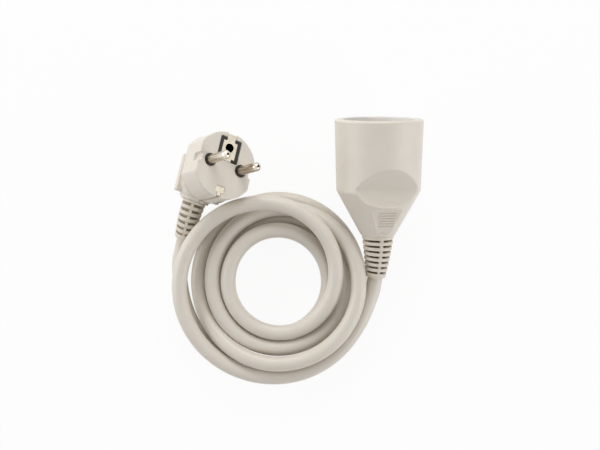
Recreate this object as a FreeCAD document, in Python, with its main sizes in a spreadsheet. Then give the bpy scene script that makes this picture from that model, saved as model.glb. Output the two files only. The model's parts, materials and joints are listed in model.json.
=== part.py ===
import FreeCAD, Part
import math
import os
import re
import Sketcher

# Extension cord laid flat: a round earthed coupler at one end, a hybrid earthed plug at the other,
# and a loose coil of cord between them. Millimetres, Z up, the floor at height 0. The origin is under
# the middle of the coupler, which points along Y with its mouth raised a little.

Vector = FreeCAD.Vector
UP = Vector(0, 0, 1)

document = FreeCAD.newDocument("extension_cord")
sheet = document.addObject("Spreadsheet::Sheet", "Sizes")

SIZES = [
    # cord
    ("sheath_radius", 4.2),
    ("core_radius", 1.5),
    ("core_side", 1.9),
    ("core_lift", 1.1),
    ("core_drop", 2.1),
    # clearances
    ("fit_gap", 0.1),
    ("seat_gap", 0.2),
    ("turn_gap", 0.05),
    ("disc_gap", 0.3),
    # coupler shell
    ("mouth_wall", 2.75),
    ("sleeve_taper", 1.1),
    ("shoulder_depth", 38.8),
    ("shoulder_round", 3.0),
    ("neck_radius", 9.35),
    ("cone_length", 24.8),
    ("neck_length", 6.0),
    ("neck_wall", 1.15),
    ("stop_width", 0.3),
    ("scoop_above", 14.8),
    ("scoop_crease", 2.7),
    ("scoop_below", 7.3),
    ("scoop_cut", 7.85),
    ("scoop_rise", 1.0),
    ("scoop_foot_gap", 2.2),
    ("scoop_lean", 4.8),
    ("scoop_wall", 2.0),
    ("shield_gap", 1.7),
    ("shield_end_gap", 2.1),
    ("shield_drop", 7.15),
    ("shield_tip_rise", 0.55),
    ("rib_margin", 1.6),
    ("rib_end_margin", 2.9),
    ("rib_pitch", 1.65),
    ("rib_length", 9.0),
    ("rib_height", 0.8),
    ("rib_width", 0.8),
    ("rib_sink", 0.4),
    # socket
    ("insert_wall", 1.4),
    ("recess_radius", 19.9),
    ("recess_depth", 17.5),
    ("face_thickness", 3.0),
    ("skirt_wall", 2.9),
    ("pin_spacing", 19.0),
    ("pin_radius", 2.4),
    ("pin_hole_radius", 2.6),
    ("guide_width", 4.4),
    ("guide_height", 1.6),
    ("guide_start", 3.0),
    ("disc_thickness", 1.8),
    ("disc_turn", 35.0),
    ("hub_radius", 2.0),
    ("hub_seat", 1.5),
    ("hub_head_radius", 3.4),
    ("hub_head", 0.9),
    ("spring_radius", 6.5),
    ("spring_wire", 0.45),
    # contacts in the coupler
    ("clip_width", 6.0),
    ("clip_thickness", 1.0),
    ("clip_tip", 5.0),
    ("clip_bulge", 1.2),
    ("bulge_set_back", 0.2),
    ("carrier_flange", 2.0),
    ("carrier_length", 8.8),
    ("carrier_wall", 2.0),
    ("carrier_height", 21.0),
    ("contact_radius", 4.0),
    ("contact_bore", 2.5),
    ("contact_length", 7.4),
    ("contact_base", 0.8),
    ("contact_slot", 1.0),
    ("tail_radius", 1.5),
    ("tail_length", 4.2),
    ("tail_lap", 0.2),
    ("core_straight", 4.2),
    ("core_end_straight", 2.6),
    ("clamp_gap", 0.5),
    ("crimp_radius", 2.5),
    ("crimp_length", 5.2),
    ("crimp_lap", 3.0),
    # cord grip in the coupler
    ("clamp_radius", 7.4),
    ("clamp_length", 3.0),
    ("relief_flange", 3.6),
    ("relief_flange_radius", 10.2),
    ("relief_radius", 8.65),
    ("relief_end_radius", 5.6),
    ("relief_collar", 1.8),
    ("relief_rows", 7),
    ("relief_pitch", 2.95),
    ("slot_width", 1.2),
    ("relief_end_ring", 0.9),
    ("web_width", 1.8),
    ("relief_drop", 6.0),
    ("relief_swing", 4.0),
    # plug shell
    ("plug_radius", 18.5),
    ("plug_flat", 16.4),
    ("plug_depth", 17.6),
    ("plug_back", 33.0),
    ("plug_wall", 2.0),
    ("plug_step_wall", 1.4),
    ("plug_face", 4.0),
    ("plug_room", 15.2),
    ("plug_room_side", 13.0),
    ("notch_width", 4.2),
    ("notch_depth", 6.5),
    ("notch_height", 1.6),
    ("back_half_width", 14.4),
    ("back_low", 17.0),
    ("back_high", 16.0),
    ("back_corner", 8.0),
    ("end_half_width", 8.2),
    ("end_low", 17.0),
    ("end_high", 6.0),
    ("end_corner", 5.0),
    ("grip_half_width", 13.8),
    ("grip_low", 15.0),
    ("grip_high", 6.0),
    ("grip_start", 25.0),
    ("grip_thickness", 3.0),
    ("outlet_depth", 25.5),
    ("outlet_low", 9.0),
    ("outlet_tilt", 15.0),
    ("outlet_length", 8.5),
    ("outlet_radius", 7.8),
    # plug works
    ("pin_length", 19.0),
    ("pin_root_radius", 2.2),
    ("pin_shank", 12.0),
    ("pin_collar", 3.3),
    ("pin_flange", 3.2),
    ("tip_hole", 0.7),
    ("tip_hole_depth", 1.2),
    ("bridge_thickness", 3.0),
    ("bridge_radius", 14.6),
    ("bridge_side", 12.6),
    ("boss_half_width", 6.1),
    ("boss_low", 2.6),
    ("boss_high", 15.2),
    ("boss_recess", 1.0),
    ("rail_width", 1.6),
    ("rail_rise", 0.3),
    ("hook_width", 1.4),
    ("hook_gap", 2.7),
    ("strip_neck", 2.5),
    ("strip_thickness", 0.8),
    ("strip_blade", 15.0),
    ("earth_offset", 10.0),
    ("earth_bore", 2.5),
    ("earth_socket_radius", 3.5),
    ("earth_socket_length", 12.0),
    ("side_contact_half_width", 2.7),
    ("side_contact_low", 15.2),
    ("side_contact_high", 12.0),
    ("channel_half_width", 1.2),
    ("channel_floor", 16.0),
    ("channel_length", 21.0),
    ("link_half_width", 2.2),
    # cord grip in the plug
    ("plug_clamp_radius", 6.2),
    ("plug_clamp_length", 1.7),
    ("plug_flange_start", 2.4),
    ("plug_flange", 2.4),
    ("plug_flange_radius", 7.2),
    ("plug_flange_room", 7.6),
    ("plug_root_radius", 6.0),
    ("plug_relief_radius", 6.5),
    ("plug_relief_end_radius", 5.5),
    ("plug_relief_collar", 1.4),
    ("plug_relief_rows", 6),
    ("plug_relief_pitch", 3.15),
    # how the pieces lie
    ("mouth_tilt", 9.0),
    ("mouth_forward", 41.73),
    ("coupler_roll", 13.4),
    ("plug_relief_bend", 31.0),
    ("plug_web_turn", 27.0),
    ("plug_left", 82.8),
    ("plug_forward", 16.36),
    ("plug_height", 33.55),
    # coil
    ("coil_left", 55.8),
    ("coil_back", 47.14),
    ("lead_straight", 6.8),
    ("plug_lead_straight", 6.0),
]

# Sizes that follow from the ones above
FOLLOWING = [
    ("insert_radius", "recess_radius + insert_wall"),
    ("insert_length", "recess_depth + face_thickness + 2 * disc_gap + disc_thickness + hub_head + seat_gap"),
    ("skirt_radius", "insert_radius - skirt_wall"),
    ("disc_radius", "skirt_radius - 2 * disc_gap"),
    ("seat_radius", "insert_radius + fit_gap"),
    ("mouth_radius", "seat_radius + mouth_wall"),
    ("shoulder_radius", "mouth_radius - sleeve_taper"),
    ("cavity_radius", "recess_radius - stop_width"),
    ("neck_depth", "shoulder_depth + cone_length"),
    ("flange_room", "relief_flange_radius + 2 * seat_gap"),
    ("scoop_start", "shoulder_depth - scoop_above"),
    ("scoop_middle", "shoulder_depth - scoop_crease"),
    ("scoop_end", "shoulder_depth + scoop_below"),
    ("scoop_foot", "scoop_end - scoop_foot_gap"),
    ("scoop_floor", "shoulder_radius - scoop_cut"),
    ("shield_start", "scoop_end + shield_gap"),
    ("shield_end", "neck_depth - shield_end_gap"),
    ("shield_floor", "shoulder_radius - shield_drop"),
    ("shield_tip", "neck_radius + shield_tip_rise"),
    ("rib_start", "shield_start + rib_margin"),
    ("plug_room_end", "plug_depth - plug_step_wall"),
    ("rib_room", "shield_end - rib_end_margin - rib_width - rib_start"),
]

SHEET_ROWS = [(alias, str(value)) for alias, value in SIZES]
SHEET_ROWS += [(alias, "=" + formula) for alias, formula in FOLLOWING]
for row, (alias, content) in enumerate(SHEET_ROWS, 1):
    sheet.set("A%d" % row, alias)
    sheet.set("B%d" % row, content)
    sheet.setAlias("B%d" % row, alias)
    document.recompute()


def size(alias):
    return float(sheet.get(alias))


def bind(item, prop, formula):
    # A formula names aliases of the sheet.
    item.setExpression(prop, re.sub(r"[a-z]\w+", lambda word: "Sizes." + word.group(), formula))


def place_by(item, x, y, z):
    bind(item, "Placement.Base.x", x)
    bind(item, "Placement.Base.y", y)
    bind(item, "Placement.Base.z", z)


def cylinder(name, radius, height, x="0", y="0", z="0"):
    # Stands on z and rises by height.
    item = document.addObject("Part::Cylinder", name)
    bind(item, "Radius", radius)
    bind(item, "Height", height)
    place_by(item, x, y, z)
    return item


def tube(name, radius, bore, height, x="0", y="0", z="0"):
    outside = cylinder(name + "_outside", radius, height, x, y, z)
    inside = cylinder(name + "_inside", bore, height, x, y, z)
    return less(name, outside, inside)


def box(name, half_width, low, high, bottom, top):
    # Spans plus and minus half_width in X, low to high in Y and bottom to top in Z.
    item = document.addObject("Part::Box", name)
    bind(item, "Length", "2 * (%s)" % half_width)
    bind(item, "Width", "(%s) - (%s)" % (high, low))
    bind(item, "Height", "(%s) - (%s)" % (top, bottom))
    place_by(item, "-(%s)" % half_width, low, bottom)
    return item


def side_box(name, near, far, half_width, bottom, top):
    # Spans near to far in X and plus and minus half_width in Y.
    item = document.addObject("Part::Box", name)
    bind(item, "Length", "(%s) - (%s)" % (far, near))
    bind(item, "Width", "2 * (%s)" % half_width)
    bind(item, "Height", "(%s) - (%s)" % (top, bottom))
    place_by(item, near, "-(%s)" % half_width, bottom)
    return item


def joined(name, *items):
    item = document.addObject("Part::MultiFuse", name)
    item.Shapes = list(items)
    item.Refine = True
    return item


def less(name, base, *tools):
    item = document.addObject("Part::Cut", name)
    item.Base = base
    item.Tool = tools[0] if len(tools) == 1 else joined(name + "_tools", *tools)
    item.Refine = True
    return item


def common(name, first, second):
    item = document.addObject("Part::Common", name)
    item.Base = first
    item.Tool = second
    return item


def solid_feature(name, shape):
    item = document.addObject("Part::Feature", name)
    item.Shape = shape
    return item


def outline(owner, name, points):
    # A closed outline whose corners are bound to the sheet.
    sketch = owner.newObject("Sketcher::SketchObject", name)
    count = len(points)
    for index in range(count):
        here = Vector(index, index % 2, 0)
        there = Vector((index + 1) % count, (index + 1) % count % 2, 0)
        sketch.addGeometry(Part.LineSegment(here, there))
    for index in range(count):
        sketch.addConstraint(Sketcher.Constraint("Coincident", index, 2, (index + 1) % count, 1))
    for index, (across, along) in enumerate(points):
        for kind, formula in (("DistanceX", across), ("DistanceY", along)):
            number = sketch.addConstraint(Sketcher.Constraint(kind, -1, 1, index, 1, 1.0))
            bind(sketch, "Constraints[%d]" % number, formula)
    return sketch


def role_plane(body, role):
    return [item for item in body.Origin.OriginFeatures if item.Role == role][0]


def turned(name, points):
    # A body turned about Z from an outline of radius and height.
    body = document.addObject("PartDesign::Body", name)
    sketch = outline(body, name + "_outline", points)
    sketch.AttachmentSupport = [(role_plane(body, "XZ_Plane"), "")]
    sketch.MapMode = "FlatFace"
    turn = body.newObject("PartDesign::Revolution", name + "_turn")
    turn.Profile = sketch
    turn.ReferenceAxis = (sketch, ["V_Axis"])
    turn.Angle = 360
    document.recompute()
    return body


def crosswise(name, points, half_width):
    # A prism along X from an outline of Y and Z.
    body = document.addObject("PartDesign::Body", name)
    sketch = outline(body, name + "_outline", points)
    sketch.AttachmentSupport = [(role_plane(body, "YZ_Plane"), "")]
    sketch.MapMode = "FlatFace"
    prism = document.addObject("Part::Extrusion", name + "_prism")
    prism.Base = sketch
    prism.DirMode = "Custom"
    prism.Dir = Vector(1, 0, 0)
    prism.Solid = True
    bind(prism, "LengthFwd", half_width)
    bind(prism, "LengthRev", half_width)
    document.recompute()
    return prism


def rounded(body, name, radius, *spots):
    # Rounds the circular edges that pass at the given radius and height.
    document.recompute()
    names = []
    for number, edge in enumerate(body.Shape.Edges, 1):
        if not isinstance(edge.Curve, Part.Circle):
            continue
        for spot_radius, spot_height in spots:
            near_radius = abs(edge.Curve.Radius - spot_radius) < 0.01
            if near_radius and abs(edge.Curve.Center.z - spot_height) < 0.01:
                names.append("Edge%d" % number)
    fillet = body.newObject("PartDesign::Fillet", name)
    fillet.Base = (body.Tip if body.Tip != fillet else body.Group[-2], names)
    bind(fillet, "Radius", radius)
    document.recompute()
    return body


def routed(points, wire_radius, report=None):
    # A round tube on straight runs joined by arcs as large as their runs allow.
    share = 0.45
    edges = []
    start = points[0]
    radii = []
    for before, corner, after in zip(points, points[1:], points[2:]):
        back = (before - corner).normalize()
        ahead = (after - corner).normalize()
        shorter = min(before.distanceToPoint(corner), after.distanceToPoint(corner))
        half_turn = (math.pi - back.getAngle(ahead)) / 2
        reach = share * shorter
        radii.append(reach / math.tan(half_turn))
        entry = corner + back * reach
        leave = corner + ahead * reach
        inward = (back + ahead).normalize()
        centre_distance = math.hypot(reach, radii[-1])
        middle = corner + inward * (centre_distance - radii[-1])
        edges.append(Part.LineSegment(start, entry).toShape())
        edges.append(Part.Arc(entry, middle, leave).toShape())
        start = leave
    edges.append(Part.LineSegment(start, points[-1]).toShape())
    path = Part.Wire(edges)
    direction = points[1] - points[0]
    section = Part.Wire(Part.Circle(points[0], direction, wire_radius).toShape())
    shape = path.makePipeShell([section], True, False)
    if report:
        expected = math.pi * wire_radius ** 2 * path.Length
        print(report, "length", round(path.Length, 1), "radii", [round(value, 1) for value in radii],
              "volume ratio", round(shape.Volume / expected, 4))
    return shape


# Coupler
# Its own frame has the mouth at height 0, the body below it and the thumb scoop towards Y.

FACE_BACK = "(recess_depth + face_thickness)"
FACE_TOP = "-recess_depth"
NECK_LEDGE = "(neck_depth - neck_length)"
HALF_SPACING = "pin_spacing / 2"
NECK_BORE = "(neck_radius - neck_wall)"
CLIP_OUTER = "(cavity_radius - disc_gap)"
CARRIER_TOP = "-(insert_length + clip_thickness + seat_gap)"
CARRIER_END = "-(insert_length + clip_thickness + seat_gap + carrier_length)"
TAIL_END = "-(insert_length + clip_thickness + 2 * seat_gap + contact_length + contact_base + tail_length)"


def make_coupler_shell():
    outside = turned("coupler_outside", [
        ("0", "0"), ("mouth_radius", "0"), ("shoulder_radius", "-shoulder_depth"),
        ("neck_radius", "-neck_depth"), ("0", "-neck_depth")])
    rounded(outside, "shoulder_rounding", "shoulder_round",
            (size("shoulder_radius"), -size("shoulder_depth")))
    room = turned("coupler_room", [
        ("0", "1"), ("seat_radius", "1"), ("seat_radius", "-insert_length"),
        ("cavity_radius", "-insert_length"), ("cavity_radius", "-shoulder_depth"),
        ("flange_room", "-" + NECK_LEDGE), ("0", "-" + NECK_LEDGE)])
    scoop = crosswise("scoop", [
        ("mouth_radius + 1", "-scoop_start + 1"), ("scoop_floor", "-scoop_middle"),
        ("scoop_floor + scoop_rise", "-scoop_foot"), ("mouth_radius + 1", "-scoop_end - scoop_lean")],
        "mouth_radius")
    scoop_skin = crosswise("scoop_skin", [
        ("mouth_radius + 1", "-scoop_start + 1 + scoop_wall"), ("scoop_floor - scoop_wall", "-scoop_middle"),
        ("scoop_floor + scoop_rise - scoop_wall", "-scoop_foot - scoop_wall / 2"),
        ("mouth_radius + 1", "-scoop_end - scoop_lean - scoop_wall")], "mouth_radius")
    shield = crosswise("shield", [
        ("shield_floor", "-shield_start"), ("shield_tip", "-shield_end"),
        ("mouth_radius", "-shield_end"), ("mouth_radius", "-shield_start")], "mouth_radius")
    hollow = less("coupler_hollow", room, scoop_skin)
    neck = cylinder("neck_bore", NECK_BORE, "neck_length + 2", z="-neck_depth - 1")
    plain = less("coupler_plain", outside, scoop, shield, hollow, neck)
    return joined("coupler_shell", plain, *make_shield_ribs())


def make_shield_ribs():
    # Raised bars across the flat shield on the cone.
    slope = "((shield_floor - shield_tip) / (shield_end - shield_start))"
    ribs = []
    for number in range(int(size("rib_room") / size("rib_pitch")) + 1):
        depth = "(rib_start + %d * rib_pitch)" % number
        floor = "(shield_floor - %s * (%s + rib_width - shield_start))" % (slope, depth)
        ribs.append(box("shield_rib_%d" % (number + 1), "rib_length / 2", floor + " - rib_sink",
                        floor + " + rib_height", "-%s - rib_width" % depth, "-" + depth))
    return ribs


def make_socket_insert():
    cup = turned("insert_cup", [
        ("recess_radius", "0"), ("insert_radius", "0"), ("insert_radius", "-insert_length"),
        ("skirt_radius", "-insert_length"), ("skirt_radius", "-" + FACE_BACK), ("0", "-" + FACE_BACK),
        ("0", FACE_TOP), ("recess_radius", FACE_TOP)])
    tools = []
    for side, word in ((-1, "left"), (1, "right")):
        tools.append(cylinder("pin_hole_" + word, "pin_hole_radius", "face_thickness + 2",
                              x="%d * %s" % (side, HALF_SPACING), z="-%s - 1" % FACE_BACK))
    tools.append(cylinder("hub_hole", "hub_radius", "hub_seat + 1", z="-%s - 1" % FACE_BACK))
    for name, low, high in (("upper_slot", CLIP_OUTER + " - clip_thickness - disc_gap",
                             CLIP_OUTER + " + disc_gap"),
                            ("lower_slot", "-(%s + disc_gap)" % CLIP_OUTER,
                             "-(%s - clip_thickness - disc_gap)" % CLIP_OUTER)):
        tools.append(box(name, "clip_width / 2 + disc_gap", low, high, "-insert_length - 1", FACE_TOP + " + 1"))
    guides = []
    for name, near, far in (("left_guide", "-recess_radius - 0.5", "-recess_radius + guide_height"),
                            ("right_guide", "recess_radius - guide_height", "recess_radius + 0.5")):
        guides.append(side_box(name, near, far, "guide_width / 2", FACE_TOP + " - 0.5", "-guide_start"))
    return less("socket_insert", joined("insert_with_guides", cup, *guides), *tools)


def make_shutter_disc():
    bottom = "-(%s + disc_gap + disc_thickness)" % FACE_BACK
    plate = cylinder("disc_plate", "disc_radius", "disc_thickness", z=bottom)
    turn = math.radians(size("disc_turn"))
    tools = [cylinder("disc_bore", "hub_radius + turn_gap", "disc_thickness + 2", z=bottom + " - 1")]
    for side, word in ((-1, "left"), (1, "right")):
        tools.append(cylinder("disc_hole_" + word, "pin_hole_radius + disc_gap", "disc_thickness + 2",
                              "%f * %s" % (side * math.cos(turn), HALF_SPACING),
                              "%f * %s" % (-side * math.sin(turn), HALF_SPACING), bottom + " - 1"))
    return less("shutter_disc", plate, *tools)


def make_shutter_hub():
    head_top = "-(%s + 2 * disc_gap + disc_thickness)" % FACE_BACK
    shank = cylinder("hub_shank", "hub_radius", "hub_seat + 2 * disc_gap + disc_thickness", z=head_top)
    head = cylinder("hub_head_disc", "hub_head_radius", "hub_head", z=head_top + " - hub_head")
    return joined("shutter_hub", shank, head)


def grouped(name, *items):
    # Separate solids in one node.
    group = document.addObject("Part::Compound", name)
    group.Links = list(items)
    return group


def make_shutter_spring():
    spring = document.addObject("Part::Torus", "spring_ring")
    bind(spring, "Radius1", "spring_radius")
    bind(spring, "Radius2", "spring_wire")
    spring.Angle3 = 300
    place_by(spring, "0", "0", "-(%s + 2 * disc_gap + disc_thickness + spring_wire)" % FACE_BACK)
    return grouped("shutter_spring", spring)


def make_earth_bracket():
    outer = CLIP_OUTER
    inner = "(%s - clip_thickness)" % CLIP_OUTER
    bar = box("earth_bar", "clip_width / 2", "-(%s)" % outer, outer,
              "-insert_length - clip_thickness", "-insert_length")
    arms = [box("upper_clip", "clip_width / 2", inner, outer, "-insert_length - 0.5", "-clip_tip"),
            box("lower_clip", "clip_width / 2", "-(%s)" % outer, "-" + inner,
                "-insert_length - 0.5", "-clip_tip")]
    for side, word in ((1, "upper"), (-1, "lower")):
        bulge = document.addObject("Part::Cylinder", word + "_bulge")
        bind(bulge, "Radius", "clip_bulge")
        bind(bulge, "Height", "clip_width")
        bulge.Placement.Rotation = FreeCAD.Rotation(Vector(0, 1, 0), 90)
        place_by(bulge, "-clip_width / 2", "%d * (%s + bulge_set_back)" % (side, inner), "-clip_tip - 2 * clip_bulge")
        inside = box(word + "_bulge_room", "clip_width", "-(%s)" % outer, outer,
                     "-clip_tip - 4 * clip_bulge", "-clip_tip")
        arms.append(common(word + "_bulge_inside", bulge, inside))
    tail = cylinder("earth_tail", "tail_radius", "-(%s) - insert_length - 0.5" % TAIL_END, z=TAIL_END)
    return joined("earth_bracket", bar, tail, *arms)


def make_contact_carrier():
    flange = cylinder("carrier_flange_disc", "cavity_radius - seat_gap", "carrier_flange",
                      z=CARRIER_TOP + " - carrier_flange")
    block = common("carrier_block_in_cavity",
                   box("carrier_block", HALF_SPACING + " + contact_radius + carrier_wall", "-carrier_height / 2",
                       "carrier_height / 2", CARRIER_END, CARRIER_TOP),
                   cylinder("carrier_limit", "cavity_radius - seat_gap", "carrier_length", z=CARRIER_END))
    tools = [cylinder("carrier_tail_hole", "tail_radius + seat_gap", "carrier_length + 2",
                      z=CARRIER_END + " - 1")]
    for side, word in ((-1, "left"), (1, "right")):
        tools.append(cylinder("carrier_hole_" + word, "contact_radius + seat_gap", "carrier_length + 2",
                              "%d * %s" % (side, HALF_SPACING), "0", CARRIER_END + " - 1"))
    return less("contact_carrier", joined("carrier_body", flange, block), *tools)


def make_contact(name, side):
    # A split sleeve that grips a pin, with a round tail for its crimp.
    x = "%d * %s" % (side, HALF_SPACING)
    top = CARRIER_TOP + " - seat_gap"
    base = top + " - contact_length - contact_base"
    body = cylinder(name + "_body", "contact_radius", "contact_length + contact_base", x, "0", base)
    tail = cylinder(name + "_tail", "tail_radius", "tail_length + tail_lap", x, "0", TAIL_END)
    bore = cylinder(name + "_bore", "contact_bore", "contact_length + 1", x, "0", base + " + contact_base")
    slot = document.addObject("Part::Box", name + "_slot")
    bind(slot, "Length", "contact_slot")
    bind(slot, "Width", "4 * contact_radius")
    bind(slot, "Height", "contact_length")
    place_by(slot, x + " - contact_slot / 2", "-2 * contact_radius", base + " + contact_base + 1")
    return less(name, joined(name + "_solid", body, tail), bore, slot)


def make_crimps(name, spots, top):
    # One sleeve over each tail and the end of its core.
    sleeves = []
    for number, (x, y) in enumerate(spots, 1):
        sleeves.append(tube("%s_%d" % (name, number), "crimp_radius", "tail_radius + fit_gap",
                            "crimp_length", x, y, top + " - crimp_length"))
    return grouped(name, *sleeves)


def make_clamp(name, radius, length, z):
    return tube(name, radius, "sheath_radius + fit_gap", length, z=z)


def bend_place(start, direction, side, distance, bend, length):
    # The place at a distance along an arc that turns from direction towards side.
    angle = math.radians(bend) * distance / length
    radius = length / math.radians(bend)
    along = direction * (radius * math.sin(angle)) + side * (radius * (1 - math.cos(angle)))
    return FreeCAD.Placement(start + along, FreeCAD.Rotation(direction.cross(side), math.degrees(angle)))


def make_relief(start, direction, side, rows, pitch, radius, end_radius, bend, web_turn):
    # A bent, tapered sleeve of rings that four webs hold together.
    slot = size("slot_width")
    length = rows * pitch + size("relief_end_ring")
    bore = size("sheath_radius") + size("fit_gap")
    upright = FreeCAD.Rotation(UP, direction)
    pieces = []
    for row in range(rows):
        low = row * pitch + slot
        high = (row + 1) * pitch if row < rows - 1 else length
        ring_low = radius + (end_radius - radius) * low / length
        ring_high = radius + (end_radius - radius) * high / length
        half = (high - low) / 2
        ring = Part.makeCone(ring_low, ring_high, 2 * half, Vector(0, 0, -half))
        ring = ring.cut(Part.makeCylinder(bore, 2 * half + 2, Vector(0, 0, -half - 1)))
        place = bend_place(start, direction, side, low + half, bend, length)
        pieces.append((ring, place))
        web_half = slot / 2 + 0.3
        middle = row * pitch + slot / 2
        web_radius = radius + (end_radius - radius) * middle / length - 0.15
        web_place = bend_place(start, direction, side, middle, bend, length)
        for quarter in range(4):
            web = Part.makeBox(web_radius - bore - 0.1, size("web_width"), 2 * web_half,
                               Vector(bore + 0.1, -size("web_width") / 2, -web_half))
            web.rotate(Vector(0, 0, 0), UP, web_turn + 90 * quarter)
            pieces.append((web, web_place))
    shapes = []
    for shape, place in pieces:
        shape.Placement = place.multiply(FreeCAD.Placement(Vector(0, 0, 0), upright)).multiply(shape.Placement)
        shapes.append(shape)
    return shapes, length


def bent_sheath(start, direction, side, straight, length, bend):
    # The cord's end, straight inside its housing and bent with its sleeve.
    inner_end = start - direction * straight
    middle = bend_place(start, direction, side, length / 2, bend, length).Base
    end = bend_place(start, direction, side, length, bend, length).Base
    path = Part.Wire([Part.LineSegment(inner_end, start).toShape(), Part.Arc(start, middle, end).toShape()])
    section = Part.Wire(Part.Circle(inner_end, direction, size("sheath_radius")).toShape())
    return path.makePipeShell([section], True, False)


def stepped(start, direction, steps):
    # Plain collars on one axis, each as radius, first distance and last distance.
    shapes = [Part.makeCylinder(radius, last - first, start + direction * first, direction)
              for radius, first, last in steps]
    return shapes[0].multiFuse(shapes[1:]) if len(shapes) > 1 else shapes[0]


DOWN = Vector(0, 0, -1)
coupler_relief_start = Vector(0, 0, -(size("neck_depth") + size("seat_gap") + size("relief_collar")))
roll = math.radians(size("coupler_roll"))


def coupler_side(down, left):
    # A direction across the coupler, given as amounts down and left before it is rolled.
    # Unrolled, Y is up and X is left.
    across = FreeCAD.Rotation(UP, size("coupler_roll")).multVec(Vector(left, -down, 0))
    return across.normalize()


relief_bend = math.hypot(size("relief_drop"), size("relief_swing"))
relief_side = coupler_side(size("relief_drop"), size("relief_swing"))
relief_rows = int(size("relief_rows"))


def make_coupler_relief():
    shapes, length = make_relief(coupler_relief_start, DOWN, relief_side, relief_rows,
                                 size("relief_pitch"), size("relief_radius"), size("relief_end_radius"),
                                 relief_bend, 0.0)
    neck_ledge = size("neck_depth") - size("neck_length")
    root = size("neck_radius") - size("neck_wall") - size("fit_gap")
    collar_top = size("neck_depth") + size("seat_gap")
    bottom = collar_top + size("relief_collar")
    body = stepped(Vector(0, 0, 0), DOWN, [
        (size("relief_flange_radius"), neck_ledge - size("relief_flange"), neck_ledge),
        (root, neck_ledge - 1, bottom), (size("relief_radius"), collar_top, bottom)])
    body = body.cut(Part.makeCylinder(size("sheath_radius") + size("fit_gap"), bottom, Vector(0, 0, 0), DOWN))
    return solid_feature("coupler_strain_relief", body.multiFuse(shapes).removeSplitter()), length


def core_points(spots):
    return [Vector(*spot) for spot in spots]


# Plug
# Its own frame has the face at height 0, the pins towards Z and the earth socket towards Y.

def rounded_outline(half_width, low, high, corner, depth):
    # A rectangle with round corners, from low to high in Y.
    edges = []
    corners = [(half_width - corner, high - corner, 0), (-half_width + corner, high - corner, 90),
               (-half_width + corner, low + corner, 180), (half_width - corner, low + corner, 270)]
    ends = []
    for x, y, first in corners:
        points = [Vector(x + corner * math.cos(math.radians(first + turn)),
                         y + corner * math.sin(math.radians(first + turn)), -depth) for turn in (0, 45, 90)]
        ends.append((Part.Arc(*points).toShape(), points[0], points[2]))
    for (arc, first, last), (_, following, _) in zip(ends, ends[1:] + ends[:1]):
        edges.append(arc)
        edges.append(Part.LineSegment(last, following).toShape())
    return Part.Wire(edges)


def back_form(inset, first, last):
    # The plug's back as a loft that narrows away from the face.
    shift = size("plug_depth")
    share_first = (first - shift) / (size("plug_back") - shift)
    share_last = (last - shift) / (size("plug_back") - shift)
    wires = []
    for share, depth in ((share_first, first), (share_last, last)):
        def between(wide, narrow):
            return size(wide) + (size(narrow) - size(wide)) * share
        wires.append(rounded_outline(between("back_half_width", "end_half_width") - inset,
                                     -between("back_low", "end_low") + inset,
                                     between("back_high", "end_high") - inset,
                                     between("back_corner", "end_corner") - inset / 2, depth))
    return Part.makeLoft(wires, True, True)


tilt = math.radians(size("outlet_tilt"))
outlet_start = Vector(0, -size("outlet_low"), -size("outlet_depth"))
outlet_way = Vector(0, -math.cos(tilt), -math.sin(tilt))
outlet_rise = Vector(0, -math.sin(tilt), math.cos(tilt))


def make_plug_shell():
    face = common("plug_face_block", cylinder("plug_round", "plug_radius", "plug_depth", z="-plug_depth"),
                  box("plug_flats", "plug_flat", "-plug_radius", "plug_radius", "-plug_depth", "0"))
    back = solid_feature("plug_back_form", back_form(0, size("plug_depth") - 1, size("plug_back")))
    outlet = solid_feature("plug_outlet", stepped(outlet_start, outlet_way, [
        (size("outlet_radius"), size("plug_flange_start"), size("outlet_length"))]))
    grip = box("plug_grip", "grip_half_width", "-grip_low", "grip_high",
               "-grip_start - grip_thickness", "-grip_start")
    room = common("plug_front_room", cylinder("plug_room_round", "plug_room", "plug_room_end - plug_face",
                                              z="-plug_room_end"),
                  box("plug_room_flats", "plug_room_side", "-plug_room", "plug_room", "-plug_room_end",
                      "-plug_face"))
    back_room = solid_feature("plug_back_room", back_form(size("plug_wall"), size("plug_room_end") - 0.5,
                                                          size("plug_back") - size("plug_wall")))
    bores = solid_feature("plug_outlet_bore", stepped(outlet_start, outlet_way, [
        (size("plug_flange_room"), 0, size("plug_flange_start") + size("plug_flange")),
        (size("plug_root_radius") + size("fit_gap"), 1, size("outlet_length") + 2),
        (size("plug_relief_radius") + size("seat_gap"), size("outlet_length"), 2 * size("outlet_length"))]))
    tools = [room, back_room, bores]
    for name, near, far in (("left_notch", "-plug_flat - 1", "-plug_flat + notch_height"),
                            ("right_notch", "plug_flat - notch_height", "plug_flat + 1")):
        tools.append(side_box(name, near, far, "notch_width / 2", "-notch_depth", "1"))
    for side, word in ((-1, "left"), (1, "right")):
        tools.append(cylinder("collar_hole_" + word, "pin_collar + fit_gap", "plug_face + 2",
                              "%d * %s" % (side, HALF_SPACING), "0", "-plug_face - 1"))
    tools.append(box("boss_opening", "boss_half_width + seat_gap", "boss_low - seat_gap",
                     "boss_high + seat_gap", "-plug_face - 1", "1"))
    tools.append(box("upper_groove", "strip_neck + fit_gap", "boss_high - seat_gap", "plug_radius + 1",
                     "-strip_blade - 1", "1"))
    tools.append(box("contact_opening", "side_contact_half_width + fit_gap", "-side_contact_low - fit_gap",
                     "-side_contact_high + fit_gap", "-plug_face - 1", "1"))
    tools.append(box("contact_neck", "channel_half_width", "-channel_floor - 0.5", "-side_contact_low + 0.5",
                     "-strip_thickness - 0.6", "1"))
    tools.append(box("lower_channel", "channel_half_width", "-plug_radius - 1", "-channel_floor",
                     "-channel_length", "1"))
    return less("plug_shell", joined("plug_outside", face, back, outlet, grip), *tools)


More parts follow.
